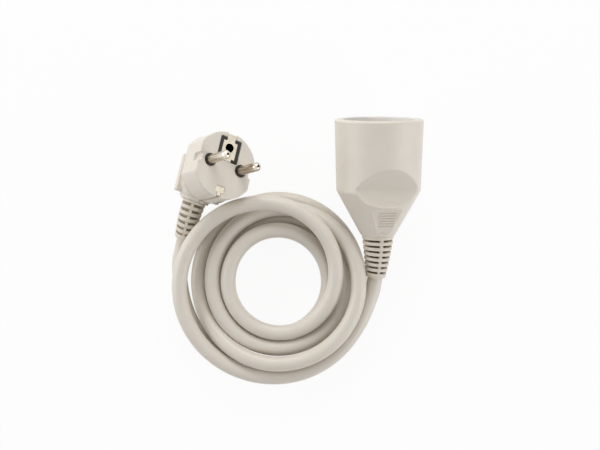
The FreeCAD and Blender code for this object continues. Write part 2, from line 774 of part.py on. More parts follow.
def make_pin_bridge():
    plate = common("bridge_plate",
                   cylinder("bridge_round", "bridge_radius", "bridge_thickness",
                            z="-plug_face - seat_gap - bridge_thickness"),
                   box("bridge_flats", "bridge_side", "-bridge_radius", "bridge_radius",
                       "-plug_face - seat_gap - bridge_thickness", "-plug_face - seat_gap"))
    boss = box("bridge_boss", "boss_half_width", "boss_low", "boss_high",
               "-plug_face - seat_gap - 0.5", "-boss_recess")
    # Two rails with hooked ends hold the earth strip down.
    rails = less("bridge_rails",
                 box("rail_block", "boss_half_width", "boss_low", "boss_high", "-boss_recess - 0.2", "rail_rise"),
                 box("rail_room", "boss_half_width - rail_width", "boss_low + hook_width",
                     "boss_high - hook_width", "-boss_recess", "rail_rise + 1"),
                 box("hook_passage", "hook_gap", "boss_low - 1", "boss_high + 1", "-boss_recess",
                     "rail_rise + 1"))
    collars = []
    tools = [cylinder("bridge_socket_hole", "earth_socket_radius + fit_gap", "plug_face + 2 * bridge_thickness",
                      "0", "earth_offset", "-plug_face - 2 * bridge_thickness"),
             box("bridge_contact_room", "side_contact_half_width + fit_gap", "-bridge_radius - 1",
                 "-side_contact_high + fit_gap", "-plug_face - 2 * bridge_thickness", "0")]
    for side, word in ((-1, "left"), (1, "right")):
        x = "%d * %s" % (side, HALF_SPACING)
        collars.append(cylinder("bridge_collar_" + word, "pin_collar", "plug_face + seat_gap + 0.5 - fit_gap",
                                x, "0", "-plug_face - seat_gap - 0.5"))
        tools.append(cylinder("bridge_pin_hole_" + word, "pin_root_radius + turn_gap",
                              "plug_face + 2 * bridge_thickness", x, "0", "-plug_face - 2 * bridge_thickness"))
    return less("plug_pin_bridge", joined("bridge_body", plate, boss, rails, *collars), *tools)


BRIDGE_BACK = "(plug_face + seat_gap + bridge_thickness)"


def make_pin(name, side):
    # A solid round pin with a domed tip, a thinner root in the bridge, a flange behind it and a tail.
    x = "%d * %s" % (side, HALF_SPACING)
    shank = cylinder(name + "_shank", "pin_radius", "pin_length - pin_radius", x)
    root = cylinder(name + "_root", "pin_root_radius", "pin_shank + 1", x, "0", "-pin_shank")
    tip = document.addObject("Part::Sphere", name + "_tip")
    bind(tip, "Radius", "pin_radius")
    place_by(tip, x, "0", "pin_length - pin_radius")
    flange = cylinder(name + "_flange", "pin_flange", "1", x, "0", "-%s - 1" % BRIDGE_BACK)
    tail = cylinder(name + "_tail", "tail_radius", "tail_length", x, "0", "-pin_shank - tail_length + tail_lap")
    hole = cylinder(name + "_tip_hole", "tip_hole", "tip_hole_depth + 1", x, "0", "pin_length - tip_hole_depth")
    return less(name, joined(name + "_solid", shank, root, tip, flange, tail), hole)


def make_earth_socket():
    body = cylinder("earth_socket_body", "earth_socket_radius", "earth_socket_length", "0", "earth_offset",
                    "-pin_shank")
    tail = cylinder("earth_socket_tail", "tail_radius", "tail_length", "0", "earth_offset",
                    "-pin_shank - tail_length + tail_lap")
    bore = cylinder("earth_socket_bore", "earth_bore", "earth_socket_length", "0", "earth_offset",
                    "-pin_shank + 1")
    top = box("earth_socket_trim", "earth_socket_radius + 1", "earth_offset - earth_socket_radius - 1",
              "earth_offset + earth_socket_radius + 1", "-boss_recess", "2")
    return less("earth_socket", joined("earth_socket_solid", body, tail), bore, top)


def make_earth_strip():
    # The bright strip around the earth socket, bent over the rim as a side contact.
    plate = box("strip_plate", "boss_half_width - rail_width - fit_gap", "boss_low + hook_width + fit_gap",
                "boss_high - hook_width - fit_gap", "-boss_recess", "-boss_recess + strip_thickness")
    tongue = box("strip_tongue", "strip_neck", "boss_low", "plug_radius - seat_gap - 0.7",
                 "-boss_recess", "-boss_recess + strip_thickness")
    blade = box("strip_side", "strip_neck", "plug_radius - seat_gap - 0.7 - strip_thickness",
                "plug_radius - seat_gap - 0.7", "-strip_blade", "-boss_recess + strip_thickness")
    hole = cylinder("strip_hole", "earth_bore", "4", "0", "earth_offset", "-boss_recess - 1")
    return less("plug_earth_strip", joined("strip_body", plate, tongue, blade), hole)


def make_side_contact():
    # The lower earth contact: a plate in the face and a blade in the channel of the wall.
    plate = box("contact_plate", "side_contact_half_width", "-side_contact_low", "-side_contact_high",
                "-strip_thickness - 0.3", "-0.3")
    neck = box("contact_neck_strip", "channel_half_width - fit_gap", "-channel_floor - 1",
               "-side_contact_low + 0.5", "-strip_thickness - 0.3", "-0.3")
    blade = box("contact_blade", "channel_half_width - fit_gap", "-channel_floor - 1", "-channel_floor - fit_gap",
                "-channel_length + 0.5", "-0.3")
    leg = box("contact_leg", "link_half_width", "-side_contact_high - strip_thickness - 0.5",
              "-side_contact_high - 0.5", "-%s - 1 - strip_thickness" % BRIDGE_BACK, "-strip_thickness")
    return joined("plug_earth_side_contact", plate, neck, blade, leg)


def make_earth_link():
    # The strap behind the bridge that ties the socket to the side contact.
    bottom = "-%s - 2 - strip_thickness" % BRIDGE_BACK
    strap = box("link_strap", "link_half_width", "-side_contact_high - strip_thickness - 0.5",
               "earth_offset - earth_socket_radius - turn_gap", bottom, bottom + " + strip_thickness")
    return grouped("plug_earth_link", strap)


def make_plug_relief():
    # The sleeve bends from the outlet down to the floor and a little towards the face.
    collar = size("outlet_length") + size("seat_gap")
    start = outlet_start + outlet_way * (collar + size("plug_relief_collar"))
    rows = int(size("plug_relief_rows"))
    shapes, length = make_relief(start, outlet_way, plug_relief_side, rows, size("plug_relief_pitch"),
                                 size("plug_relief_radius"), size("plug_relief_end_radius"),
                                 size("plug_relief_bend"), size("plug_web_turn"))
    first = size("plug_flange_start")
    bottom = collar + size("plug_relief_collar")
    body = stepped(outlet_start, outlet_way, [
        (size("plug_flange_radius"), first, first + size("plug_flange") - size("seat_gap")),
        (size("plug_root_radius"), first, bottom), (size("plug_relief_radius"), collar, bottom)])
    body = body.cut(Part.makeCylinder(size("sheath_radius") + size("fit_gap"), bottom + 4,
                                      outlet_start - outlet_way * 2, outlet_way))
    item = solid_feature("plug_strain_relief", body.multiFuse(shapes).removeSplitter())
    return item, start, length


# Places of the coupler and the plug

def coupler_rotation():
    tilted = math.radians(size("mouth_tilt"))
    axis = Vector(0, math.cos(tilted), math.sin(tilted))
    lifted = Vector(0, -math.sin(tilted), math.cos(tilted))
    thumb = lifted * math.cos(roll) + Vector(math.sin(roll), 0, 0)
    return FreeCAD.Rotation(thumb.cross(axis), thumb, axis, "ZYX")


def plug_rotation():
    # The face looks up and to the right, with the earth socket away from the coil.
    pins = Vector(0.543, 0.097, 0.834)
    earth = Vector(0.208, 0.946, -0.246)
    return FreeCAD.Rotation(earth.cross(pins), earth, pins, "ZYX")


plug_place = FreeCAD.Placement(Vector(-size("plug_left"), size("plug_forward"), size("plug_height")),
                               plug_rotation())
relief_goal = plug_place.Rotation.inverted().multVec(Vector(-0.17, -0.82, -0.545))
plug_relief_side = (relief_goal - outlet_way * relief_goal.dot(outlet_way)).normalize()


# Coil
# Five and a half turns seen from above as clockwise. Each quarter turn has its radius about the coil's
# centre and the height of the cord's centre line, chosen by eye; turn 0 points to the right.

COIL_KEYS = [
    (0.08, 50.9, 13.1), (0.25, 53.0, 13.6), (0.50, 53.7, 18.2), (0.75, 43.0, 23.2),
    (1.00, 32.1, 20.8), (1.25, 28.3, 14.8), (1.50, 27.0, 14.2), (1.75, 28.6, 12.9),
    (2.00, 28.8, 9.0), (2.25, 30.0, 4.4), (2.50, 31.0, 4.2), (2.75, 34.6, 4.2),
    (3.00, 38.3, 9.4), (3.25, 37.2, 13.2), (3.50, 35.9, 12.5), (3.75, 40.6, 11.5),
    (4.00, 45.3, 20.6), (4.25, 45.0, 20.9), (4.50, 44.2, 5.4), (4.75, 46.0, 4.2),
    (5.00, 46.4, 4.2), (5.25, 51.8, 4.2), (5.47, 53.7, 4.2),
]


def coil_point(number):
    turn, radius, height = COIL_KEYS[number]
    angle = -2 * math.pi * turn
    return Vector(-size("coil_left") + radius * math.cos(angle),
                  -size("coil_back") + radius * math.sin(angle), height)


def coil_slope(number, column):
    # Radii change evenly; heights never dip below their keys.
    before = COIL_KEYS[max(number - 1, 0)]
    here = COIL_KEYS[number]
    after = COIL_KEYS[min(number + 1, len(COIL_KEYS) - 1)]
    if before is here or after is here:
        return (after[column] - before[column]) / (after[0] - before[0]) if column == 1 else 0.0
    if column == 1:
        return (after[1] - before[1]) / (after[0] - before[0])
    rise = (here[2] - before[2]) / (here[0] - before[0])
    fall = (after[2] - here[2]) / (after[0] - here[0])
    return 2 * rise * fall / (rise + fall) if rise * fall > 0 else 0.0


def coil_way(number):
    turn, radius, height = COIL_KEYS[number]
    angle = -2 * math.pi * turn
    outward = Vector(math.cos(angle), math.sin(angle), 0)
    around = Vector(math.sin(angle), -math.cos(angle), 0)
    way = around * (2 * math.pi * radius) + outward * coil_slope(number, 1) + UP * coil_slope(number, 2)
    return way.normalize()


def biarc(first, first_way, last, last_way):
    # Two arcs that leave first and reach last in the given directions.
    span = last - first
    ways = first_way + last_way
    spread = 2 * (1 - first_way.dot(last_way))
    reach = (-span.dot(ways) + math.sqrt(span.dot(ways) ** 2 + spread * span.dot(span))) / spread
    join = (first + first_way * reach + last - last_way * reach) / 2
    edges = []
    for start, end, corner in ((first, join, first + first_way * reach), (join, last, last - last_way * reach)):
        towards = ((start - corner).normalize() + (end - corner).normalize()).normalize()
        half = (start - corner).getAngle(end - corner) / 2
        leg = start.distanceToPoint(corner)
        dip = leg / math.cos(half) - leg * math.tan(half)
        edges.append(Part.Arc(start, corner + towards * dip, end).toShape())
    return edges


def least_gap(wire, radius):
    # The least gap between stretches of the coil that lie more than 60 mm apart along it.
    step = 3.0
    points = wire.discretize(Number=int(wire.Length / step))
    spacing = wire.Length / (len(points) - 1)
    apart = int(60 / spacing)
    nearest = min(points[first].distanceToPoint(points[last])
                  for first in range(len(points)) for last in range(first + apart, len(points)))
    return nearest - 2 * radius


def make_coil():
    sheath = size("sheath_radius")
    count = len(COIL_KEYS)
    first = coil_point(0) - coil_way(0) * (2 * sheath)
    last = coil_point(count - 1) + coil_way(count - 1) * (2 * sheath)
    edges = [Part.LineSegment(first, coil_point(0)).toShape()]
    for number in range(count - 1):
        edges += biarc(coil_point(number), coil_way(number), coil_point(number + 1), coil_way(number + 1))
    edges.append(Part.LineSegment(coil_point(count - 1), last).toShape())
    path = Part.Wire(edges)
    section = Part.Wire(Part.Circle(first, coil_way(0), sheath).toShape())
    shape = path.makePipeShell([section], True, False)
    expected = math.pi * sheath ** 2 * path.Length
    print("cord_coil length", round(path.Length, 1), "least gap", round(least_gap(path, sheath), 2),
          "least radius", round(min(edge.Curve.Radius for edge in edges[1:-1]), 1),
          "volume ratio", round(shape.Volume / expected, 4))
    return solid_feature("cord_coil", shape), first, last


# Nodes

nodes = []


def keep(item, place):
    item.Label = item.Name
    nodes.append((item, place))


coupler = []
coupler.append(make_coupler_shell())
coupler.append(make_socket_insert())
coupler.append(make_shutter_disc())
coupler.append(make_shutter_hub())
coupler.append(make_shutter_spring())
coupler.append(make_earth_bracket())
coupler.append(make_contact_carrier())
coupler.append(make_contact("contact_line", -1))
coupler.append(make_contact("contact_neutral", 1))
coupler.append(make_crimps("coupler_crimps", [("-" + HALF_SPACING, "0"), (HALF_SPACING, "0"), ("0", "0")],
                           "(%s + crimp_lap)" % TAIL_END))
coupler.append(make_clamp("coupler_cord_clamp", "clamp_radius", "clamp_length",
                          "-(%s - relief_flange - seat_gap)" % NECK_LEDGE))
relief_item, relief_length = make_coupler_relief()
coupler.append(relief_item)

tail_end = -(size("insert_length") + size("clip_thickness") + 2 * size("seat_gap") + size("contact_length")
             + size("contact_base") + size("tail_length"))
grip_top = size("neck_depth") - size("neck_length") - size("relief_flange") - size("seat_gap")
sheath_top = -grip_top + size("clamp_length") + size("clamp_gap")
core_start = tail_end - size("seat_gap")
half_spacing = size("pin_spacing") / 2
side = size("core_side")
lift = size("core_lift")
for name, x, y, goal_x, goal_y in (("coupler_core_brown", -half_spacing, 0, -side, lift),
                                   ("coupler_core_blue", half_spacing, 0, side, lift),
                                   ("coupler_core_earth", 0, 0, 0, -size("core_drop"))):
    points = core_points([(x, y, core_start), (x, y, core_start - size("core_straight")),
                          (goal_x, goal_y, sheath_top + size("core_end_straight")),
                          (goal_x, goal_y, sheath_top)])
    coupler.append(solid_feature(name, routed(points, size("core_radius"))))
coupler.append(solid_feature("coupler_cord_end", bent_sheath(
    coupler_relief_start, DOWN, relief_side, sheath_top - coupler_relief_start.z, relief_length, relief_bend)))

plug = []
plug.append(make_plug_shell())
plug.append(make_pin_bridge())
plug.append(make_pin("pin_line", -1))
plug.append(make_pin("pin_neutral", 1))
plug.append(make_earth_socket())
plug.append(make_earth_strip())
plug.append(make_side_contact())
plug.append(make_earth_link())
plug.append(make_crimps("plug_crimps", [("-" + HALF_SPACING, "0"), (HALF_SPACING, "0"), ("0", "earth_offset")],
                        "(-pin_shank - tail_length + tail_lap + crimp_lap)"))
plug_relief_item, plug_relief_start, plug_relief_length = make_plug_relief()
plug.append(plug_relief_item)
plug.append(solid_feature("plug_cord_clamp", stepped(outlet_start, outlet_way, [
    (size("plug_clamp_radius"), size("clamp_gap"), size("clamp_gap") + size("plug_clamp_length"))]).cut(
        Part.makeCylinder(size("sheath_radius") + size("fit_gap"), size("outlet_length"), outlet_start,
                          outlet_way))))
plug_core_start = -size("pin_shank") - size("tail_length") + size("tail_lap") - size("seat_gap")
earth_y = size("earth_offset")
for name, x, y, goal_x, rise in (("plug_core_brown", -half_spacing, 0, -side, lift),
                                 ("plug_core_blue", half_spacing, 0, side, lift),
                                 ("plug_core_earth", 0, earth_y, 0, -size("core_drop"))):
    goal = outlet_start + Vector(goal_x, 0, 0) + outlet_rise * rise
    points = [Vector(x, y, plug_core_start), Vector(x, y, plug_core_start - 4.0), goal - outlet_way * 4.2, goal]
    plug.append(solid_feature(name, routed(points, size("core_radius"))))
plug.append(solid_feature("plug_cord_end", bent_sheath(
    plug_relief_start, outlet_way, plug_relief_side, (plug_relief_start - outlet_start).Length,
    plug_relief_length, size("plug_relief_bend"))))
document.recompute()

coupler_place = FreeCAD.Placement(Vector(0, 0, 0), coupler_rotation())
for item in coupler:
    item.Placement = coupler_place.multiply(item.Placement)
reach = FreeCAD.BoundBox()
for item in coupler:
    reach.add(item.Shape.optimalBoundingBox(False, False))
lift_off = Vector(0, size("mouth_forward"), -reach.ZMin)
for item in coupler:
    item.Placement = FreeCAD.Placement(lift_off, FreeCAD.Rotation()).multiply(item.Placement)
    keep(item, item.Placement)
coupler_place = FreeCAD.Placement(lift_off, FreeCAD.Rotation()).multiply(coupler_place)
for item in plug:
    item.Placement = plug_place.multiply(item.Placement)
    keep(item, item.Placement)

# Free cord: a lead from each strain relief, and the coil between them

coil_item, coil_first, coil_last = make_coil()
keep(coil_item, coil_item.Placement)


def relief_exit(place, start, direction, bend_side, bend, length):
    local = bend_place(start, direction, bend_side, length, bend, length)
    way = place.Rotation.multVec(local.Rotation.multVec(direction))
    return place.multVec(local.Base), way


coupler_exit, coupler_way = relief_exit(coupler_place, coupler_relief_start, DOWN, relief_side, relief_bend,
                                        relief_length)
plug_exit, plug_way = relief_exit(plug_place, plug_relief_start, outlet_way, plug_relief_side,
                                  size("plug_relief_bend"), plug_relief_length)

plug_straight = size("plug_lead_straight")
for name, points in (
        ("cord_lead_coupler", [coupler_exit, coupler_exit + coupler_way * size("lead_straight"),
                               coil_first - coil_way(0) * size("lead_straight"), coil_first]),
        ("cord_lead_plug", [coil_last, coil_last + coil_way(len(COIL_KEYS) - 1) * plug_straight,
                            Vector(-111.4, -37.04, 4.9), plug_exit + plug_way * plug_straight, plug_exit])):
    print(name, [tuple(round(value, 1) for value in point) for point in points])
    item = solid_feature(name, routed(points, size("sheath_radius"), name))
    keep(item, item.Placement)

document.recompute()
for item in document.Objects:
    if "Invalid" in item.State or "Error" in item.State:
        raise RuntimeError("object failed: " + item.Name)
for item, place in nodes:
    if item.Shape.isNull() or not item.Shape.isValid():
        raise RuntimeError("shape failed: " + item.Label)
    if not item.Shape.Solids:
        raise RuntimeError("no solid: " + item.Label)

os.makedirs("parts", exist_ok=True)
for item, place in nodes:
    item.Shape.exportStep(os.path.join("parts", item.Label + ".step"))
print("coupler mouth centre", coupler_place.Base)
print("coupler exit", coupler_exit, coupler_way)
print("plug exit", plug_exit, plug_way)
print(len(nodes), "nodes")
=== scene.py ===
import json
import math

import bmesh
import bpy
import numpy as np
from mathutils import Matrix, Vector


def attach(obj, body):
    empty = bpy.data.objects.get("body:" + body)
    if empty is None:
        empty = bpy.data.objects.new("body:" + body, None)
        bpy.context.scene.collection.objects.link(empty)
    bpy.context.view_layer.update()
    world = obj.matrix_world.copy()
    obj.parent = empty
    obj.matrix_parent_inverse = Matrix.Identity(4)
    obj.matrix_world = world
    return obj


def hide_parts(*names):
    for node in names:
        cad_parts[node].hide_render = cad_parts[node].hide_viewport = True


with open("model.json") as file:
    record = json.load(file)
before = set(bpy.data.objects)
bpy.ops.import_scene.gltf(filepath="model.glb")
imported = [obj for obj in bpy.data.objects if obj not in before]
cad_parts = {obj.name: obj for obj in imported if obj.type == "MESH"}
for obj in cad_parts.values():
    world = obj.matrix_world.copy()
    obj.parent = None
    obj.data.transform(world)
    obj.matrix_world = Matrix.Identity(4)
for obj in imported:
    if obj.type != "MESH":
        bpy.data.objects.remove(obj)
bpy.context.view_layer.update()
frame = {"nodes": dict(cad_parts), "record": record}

# An extension cord laid flat on a pale floor. Lengths below are in millimetres unless a name ends in _m.

MM = 0.001
SHEATH_RADIUS = 4.2
MOUNTS = {mount["name"]: mount for mount in frame["record"]["mounts"]}
SLOTS = {row["node"]: row["material_slot"] for row in frame["record"]["subparts"]}


# Places of the coupler and the plug, read from the mounts

def place_of(origin, across, towards, axis):
    # A matrix in metres from its origin and its three directions.
    columns = [list(across) + [0], list(towards) + [0], list(axis) + [0], list(origin) + [1]]
    return Matrix(columns).transposed()


COUPLER_ROLL = math.radians(13.4)
coupler_axis = Vector(MOUNTS["socket_recess"]["axis"]).normalized()
lifted = Vector((0, -coupler_axis.z, coupler_axis.y))
coupler_thumb = lifted * math.cos(COUPLER_ROLL) + Vector((math.sin(COUPLER_ROLL), 0, 0))
COUPLER = place_of(MOUNTS["socket_recess"]["pos_m"], coupler_thumb.cross(coupler_axis), coupler_thumb,
                   coupler_axis)

PIN_MOUNT_HEIGHT_M = 0.008
line_pin = Vector(MOUNTS["plug_pin_line"]["pos_m"])
neutral_pin = Vector(MOUNTS["plug_pin_neutral"]["pos_m"])
plug_axis = Vector(MOUNTS["plug_pin_line"]["axis"]).normalized()
plug_across = (neutral_pin - line_pin).normalized()
plug_origin = (line_pin + neutral_pin) / 2 - plug_axis * PIN_MOUNT_HEIGHT_M
PLUG = place_of(plug_origin, plug_across, plug_axis.cross(plug_across), plug_axis)


def colour(text):
    # sRGB hex to linear red, green, blue and alpha.
    parts = [int(text[start:start + 2], 16) / 255 for start in (1, 3, 5)]
    return [part / 12.92 if part <= 0.04045 else ((part + 0.055) / 1.055) ** 2.4 for part in parts] + [1.0]


def add(tree, kind, settings=(), links=()):
    # Adds a node with its settings and its input links or values.
    item = tree.nodes.new(kind)
    for name, value in dict(settings).items():
        setattr(item, name, value)
    for name, value in dict(links).items():
        if isinstance(value, bpy.types.NodeSocket):
            tree.links.new(value, item.inputs[name])
        else:
            item.inputs[name].default_value = value
    return item


# Materials

# A Mix node has its two colours at inputs 6 and 7 and its mixed colour at output 2.
FIRST_COLOUR, SECOND_COLOUR, MIXED = 6, 7, 2


def surface(name, **finish):
    # A material whose shader settings are given by socket name.
    material = bpy.data.materials.new(name)
    material.use_nodes = True
    tree = material.node_tree
    shader = tree.nodes["Principled BSDF"]
    for socket, value in finish.items():
        shader.inputs[socket.replace("_", " ")].default_value = value
    place = add(tree, "ShaderNodeTexCoord")
    return material, tree, shader, place.outputs["Object"]


def mottled(tree, shader, place, light, dark, size):
    # Colour that drifts between two close tones over patches of the given size.
    noise = add(tree, "ShaderNodeTexNoise",
                links={"Vector": place, "Scale": 1 / (size * MM), "Detail": 3.0})
    mix = add(tree, "ShaderNodeMix", {"data_type": "RGBA"},
              {0: noise.outputs["Fac"], FIRST_COLOUR: colour(light), SECOND_COLOUR: colour(dark)})
    tree.links.new(mix.outputs[MIXED], shader.inputs["Base Color"])


def uneven_gloss(tree, shader, place, smooth, rough, size):
    # Roughness that drifts between two values, as handling leaves it.
    noise = add(tree, "ShaderNodeTexNoise",
                links={"Vector": place, "Scale": 1 / (size * MM), "Detail": 4.0})
    spread = add(tree, "ShaderNodeMapRange", links={"Value": noise.outputs["Fac"], "From Min": 0.35,
                                                    "From Max": 0.65, "To Min": smooth, "To Max": rough})
    tree.links.new(spread.outputs[0], shader.inputs["Roughness"])


def grained(tree, shader, place, size, depth):
    # Fine relief of the given grain size and depth.
    noise = add(tree, "ShaderNodeTexNoise",
                links={"Vector": place, "Scale": 1 / (size * MM), "Detail": 2.0})
    bump = add(tree, "ShaderNodeBump", links={"Height": noise.outputs["Fac"], "Distance": depth * MM,
                                              "Strength": 1.0})
    tree.links.new(bump.outputs["Normal"], shader.inputs["Normal"])


def moulded_pvc():
    # Injection-moulded PVC with a spark-eroded mould texture: an even satin greyish white.
    material, tree, shader, place = surface("moulded_white_pvc", IOR=1.53)
    mottled(tree, shader, place, "#e3dcd1", "#dcd4c8", 9.0)
    uneven_gloss(tree, shader, place, 0.36, 0.46, 7.0)
    grained(tree, shader, place, 0.45, 0.015)
    return material


def soft_pvc():
    # Plasticised PVC of the bend sleeves: a little duller and warmer than the hard housings.
    material, tree, shader, place = surface("plasticised_white_pvc", IOR=1.53)
    mottled(tree, shader, place, "#e2dacc", "#d9d0c1", 6.0)
    uneven_gloss(tree, shader, place, 0.42, 0.52, 5.0)
    grained(tree, shader, place, 0.5, 0.015)
    return material


def extruded_pvc():
    # Extruded PVC sheath: smooth, with a slight sheen and faint drifts of tone along it.
    material, tree, shader, place = surface("extruded_white_pvc", IOR=1.53)
    mottled(tree, shader, place, "#e1dacf", "#dad2c6", 14.0)
    uneven_gloss(tree, shader, place, 0.36, 0.44, 10.0)
    grained(tree, shader, place, 1.6, 0.015)
    return material


def painted_shade_sheath(name, light, dark):
    # The sheath inside a bend sleeve's slots, painted darker than the sheath's own colour as painted shade of
    # the deep slots: dull brown grey.
    material, tree, shader, place = surface(name, Roughness=0.8, IOR=1.53)
    mottled(tree, shader, place, light, dark, 1.5)
    grained(tree, shader, place, 0.3, 0.03)
    return material


def insert_plastic():
    # Glass-filled polyamide of the socket's inner cup: a matt, slightly grey white.
    material, tree, shader, place = surface("polyamide_insert", IOR=1.53)
    mottled(tree, shader, place, "#edeae6", "#e6e2dd", 5.0)
    uneven_gloss(tree, shader, place, 0.45, 0.55, 4.0)
    grained(tree, shader, place, 0.4, 0.02)
    return material


def black_plastic():
    # Carbon-black filled polyamide that holds the pins: near black, with a low moulded gloss.
    material, tree, shader, place = surface("black_polyamide", IOR=1.53)
    mottled(tree, shader, place, "#1d1916", "#120f0d", 3.0)
    uneven_gloss(tree, shader, place, 0.5, 0.62, 2.0)
    grained(tree, shader, place, 0.4, 0.02)
    return material


def plated(name, light, dark, roughness, grain):
    # Stamped sheet metal, plated or bare, in the given tones and with fine rolling marks.
    material, tree, shader, place = surface(name, Metallic=1.0)
    mottled(tree, shader, place, light, dark, 2.5)
    uneven_gloss(tree, shader, place, roughness - 0.05, roughness + 0.08, 1.5)
    grained(tree, shader, place, grain, 0.006)
    return material


PIN_SPACING = 19.0


def drawn_pins():
    # Turned and nickel-plated brass pins: drawing marks run along them. The root is painted darker as painted
    # shade and reflection of the dark face, the neutral pin is painted darker than the line pin as a painted
    # reflection, and the tip is painted lighter as a painted highlight.
    material, tree, shader, place = surface("nickel_plated_pins", Metallic=1.0)
    along = add(tree, "ShaderNodeMapping", {"vector_type": "TEXTURE"},
                {"Vector": place, "Location": PLUG.translation, "Rotation": PLUG.to_euler()})
    long_marks = add(tree, "ShaderNodeMapping", {"vector_type": "TEXTURE"},
                     {"Vector": along.outputs[0], "Scale": (1.0, 1.0, 14.0)})
    noise = add(tree, "ShaderNodeTexNoise",
                links={"Vector": long_marks.outputs[0], "Scale": 1 / (1.1 * MM), "Detail": 3.0})
    spot = add(tree, "ShaderNodeSeparateXYZ", links={0: along.outputs[0]})
    # The drawing marks, the painted shade at the root, the neutral pin painted darker than the line pin, and
    # the painted highlight at the tip.
    parts = [add(tree, "ShaderNodeMapRange", links={"Value": value, "From Min": low, "From Max": high,
                                                    "To Min": at_low, "To Max": at_high}).outputs[0]
             for value, low, high, at_low, at_high in (
                 (noise.outputs["Fac"], 0.38, 0.66, 0.0, 0.75),
                 (spot.outputs["Z"], 0.5 * MM, 5.0 * MM, 0.32, 0.0),
                 (spot.outputs["X"], -PIN_SPACING / 2 * MM, PIN_SPACING / 2 * MM, -0.12, 0.2),
                 (spot.outputs["Z"], 14.5 * MM, 17.0 * MM, 0.0, -0.15))]
    marks_and_painted_light = parts[0]
    for part in parts[1:]:
        marks_and_painted_light = add(tree, "ShaderNodeMath", {"operation": "ADD"}, {0: marks_and_painted_light, 1: part}).outputs[0]
    mix = add(tree, "ShaderNodeMix", {"data_type": "RGBA"},
              {0: marks_and_painted_light, FIRST_COLOUR: colour("#e6dccd"), SECOND_COLOUR: colour("#83755f")})
    tree.links.new(mix.outputs[MIXED], shader.inputs["Base Color"])
    uneven_gloss(tree, shader, long_marks.outputs[0], 0.22, 0.38, 1.5)
    grained(tree, shader, long_marks.outputs[0], 0.25, 0.006)
    return material


def core_insulation(name, light, dark):
    # Thin PVC core insulation, smooth and glossy.
    material, tree, shader, place = surface(name, IOR=1.53)
    mottled(tree, shader, place, light, dark, 4.0)
    uneven_gloss(tree, shader, place, 0.3, 0.4, 3.0)
    grained(tree, shader, place, 0.8, 0.01)
    return material


def striped_insulation():
    # Earth core insulation: yellow and green stripes, drawn here as bands a little under 1 mm wide.
    material, tree, shader, place = surface("green_yellow_core_pvc", Roughness=0.35, IOR=1.53)
    wave = add(tree, "ShaderNodeTexWave", {"bands_direction": "X"},
               {"Vector": place, "Scale": 1 / (6.0 * MM), "Distortion": 0.4})
    split = add(tree, "ShaderNodeMapRange",
                links={"Value": wave.outputs["Fac"], "From Min": 0.47, "From Max": 0.53})
    mix = add(tree, "ShaderNodeMix", {"data_type": "RGBA"},
              {0: split.outputs[0], FIRST_COLOUR: colour("#c9b52c"), SECOND_COLOUR: colour("#3f8a3a")})
    tree.links.new(mix.outputs[MIXED], shader.inputs["Base Color"])
    grained(tree, shader, place, 0.8, 0.01)
    return material


FINISHES = {
    "housing": moulded_pvc(),
    "relief": soft_pvc(),
    "sheath": extruded_pvc(),
    "insert": insert_plastic(),
    "shutter": insert_plastic(),
    "carrier": insert_plastic(),
    "black_bridge": black_plastic(),
    "pin_nickel": drawn_pins(),
    "dark_contact": plated("tinned_contact_brass", "#d9cdba", "#bcae97", 0.34, 0.3),
    "brass": plated("contact_brass", "#c9a560", "#b8934f", 0.35, 0.3),
    "steel": plated("zinc_plated_steel", "#b9b9b6", "#a5a5a2", 0.4, 0.3),
    "core_brown": core_insulation("brown_core_pvc", "#5a3a24", "#4c301d"),
    "core_blue": core_insulation("blue_core_pvc", "#2c5aa8", "#254e95"),
    "core_earth": striped_insulation(),
}
# Painted shade: the sheath seen in the slots is painted darker, deepest in the coupler's slots and lighter in
# the plug's, which face the light.
COUPLER_SLOT_SHADE = painted_shade_sheath("dusty_sheath_coupler", "#6b5d4a", "#54483a")
PLUG_SLOT_SHADE = painted_shade_sheath("dusty_sheath_plug", "#b3a996", "#9c917e")
# Painted shade: the earth socket deep in the plug is painted near black.
SHADED_SOCKET_METAL = plated("shaded_socket_brass", "#3d372f", "#262320", 0.5, 0.4)
STRIP_METAL = plated("nickel_plated_strip", "#e6dccd", "#cbbfab", 0.3, 0.35)


# Meshes

SHARP_ANGLE = math.radians(40)
COLLAR_STEPS = 128
PIN_STEPS = 64


def piece(name, mesh, slot, *replaced):
    # An object of the root body, with its finish and the solids that it stands for.
    item = bpy.data.objects.new(name, mesh)
    bpy.context.scene.collection.objects.link(item)
    if not mesh.materials:
        mesh.materials.append(FINISHES[slot])
    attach(item, "root")
    if replaced:
        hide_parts(*replaced)
    return item


def closed_mesh(name, points, faces, place):
    # A mesh in metres from points in the local frame, with doubles merged and faces turned outwards.
    mesh = bpy.data.meshes.new(name)
    mesh.from_pydata([place @ (Vector(point) * MM) for point in points], [], faces)
    form = bmesh.new()
    form.from_mesh(mesh)
    bmesh.ops.remove_doubles(form, verts=form.verts, dist=1e-6)
    bmesh.ops.recalc_face_normals(form, faces=form.faces)
    form.to_mesh(mesh)
    form.free()
    mesh.shade_smooth()
    mesh.set_sharp_from_angle(angle=SHARP_ANGLE)
    return mesh


def ring_faces(rows, columns, closed):
    # Faces between neighbouring rings of points, and from the last ring to the first where closed.
    faces = []
    for row in range(rows if closed else rows - 1):
        for column in range(columns):
            following = (column + 1) % columns
            below = (row + 1) % rows
            faces.append((row * columns + column, row * columns + following,
                          below * columns + following, below * columns + column))
    return faces


def lathe(profile, steps, x=0.0):
    # Rings of a profile of radius and height, turned about an upright axis at x.
    turns = np.linspace(0, 2 * math.pi, steps, endpoint=False)
    return [(x + radius * math.cos(turn), radius * math.sin(turn), height)
            for radius, height in profile for turn in turns]


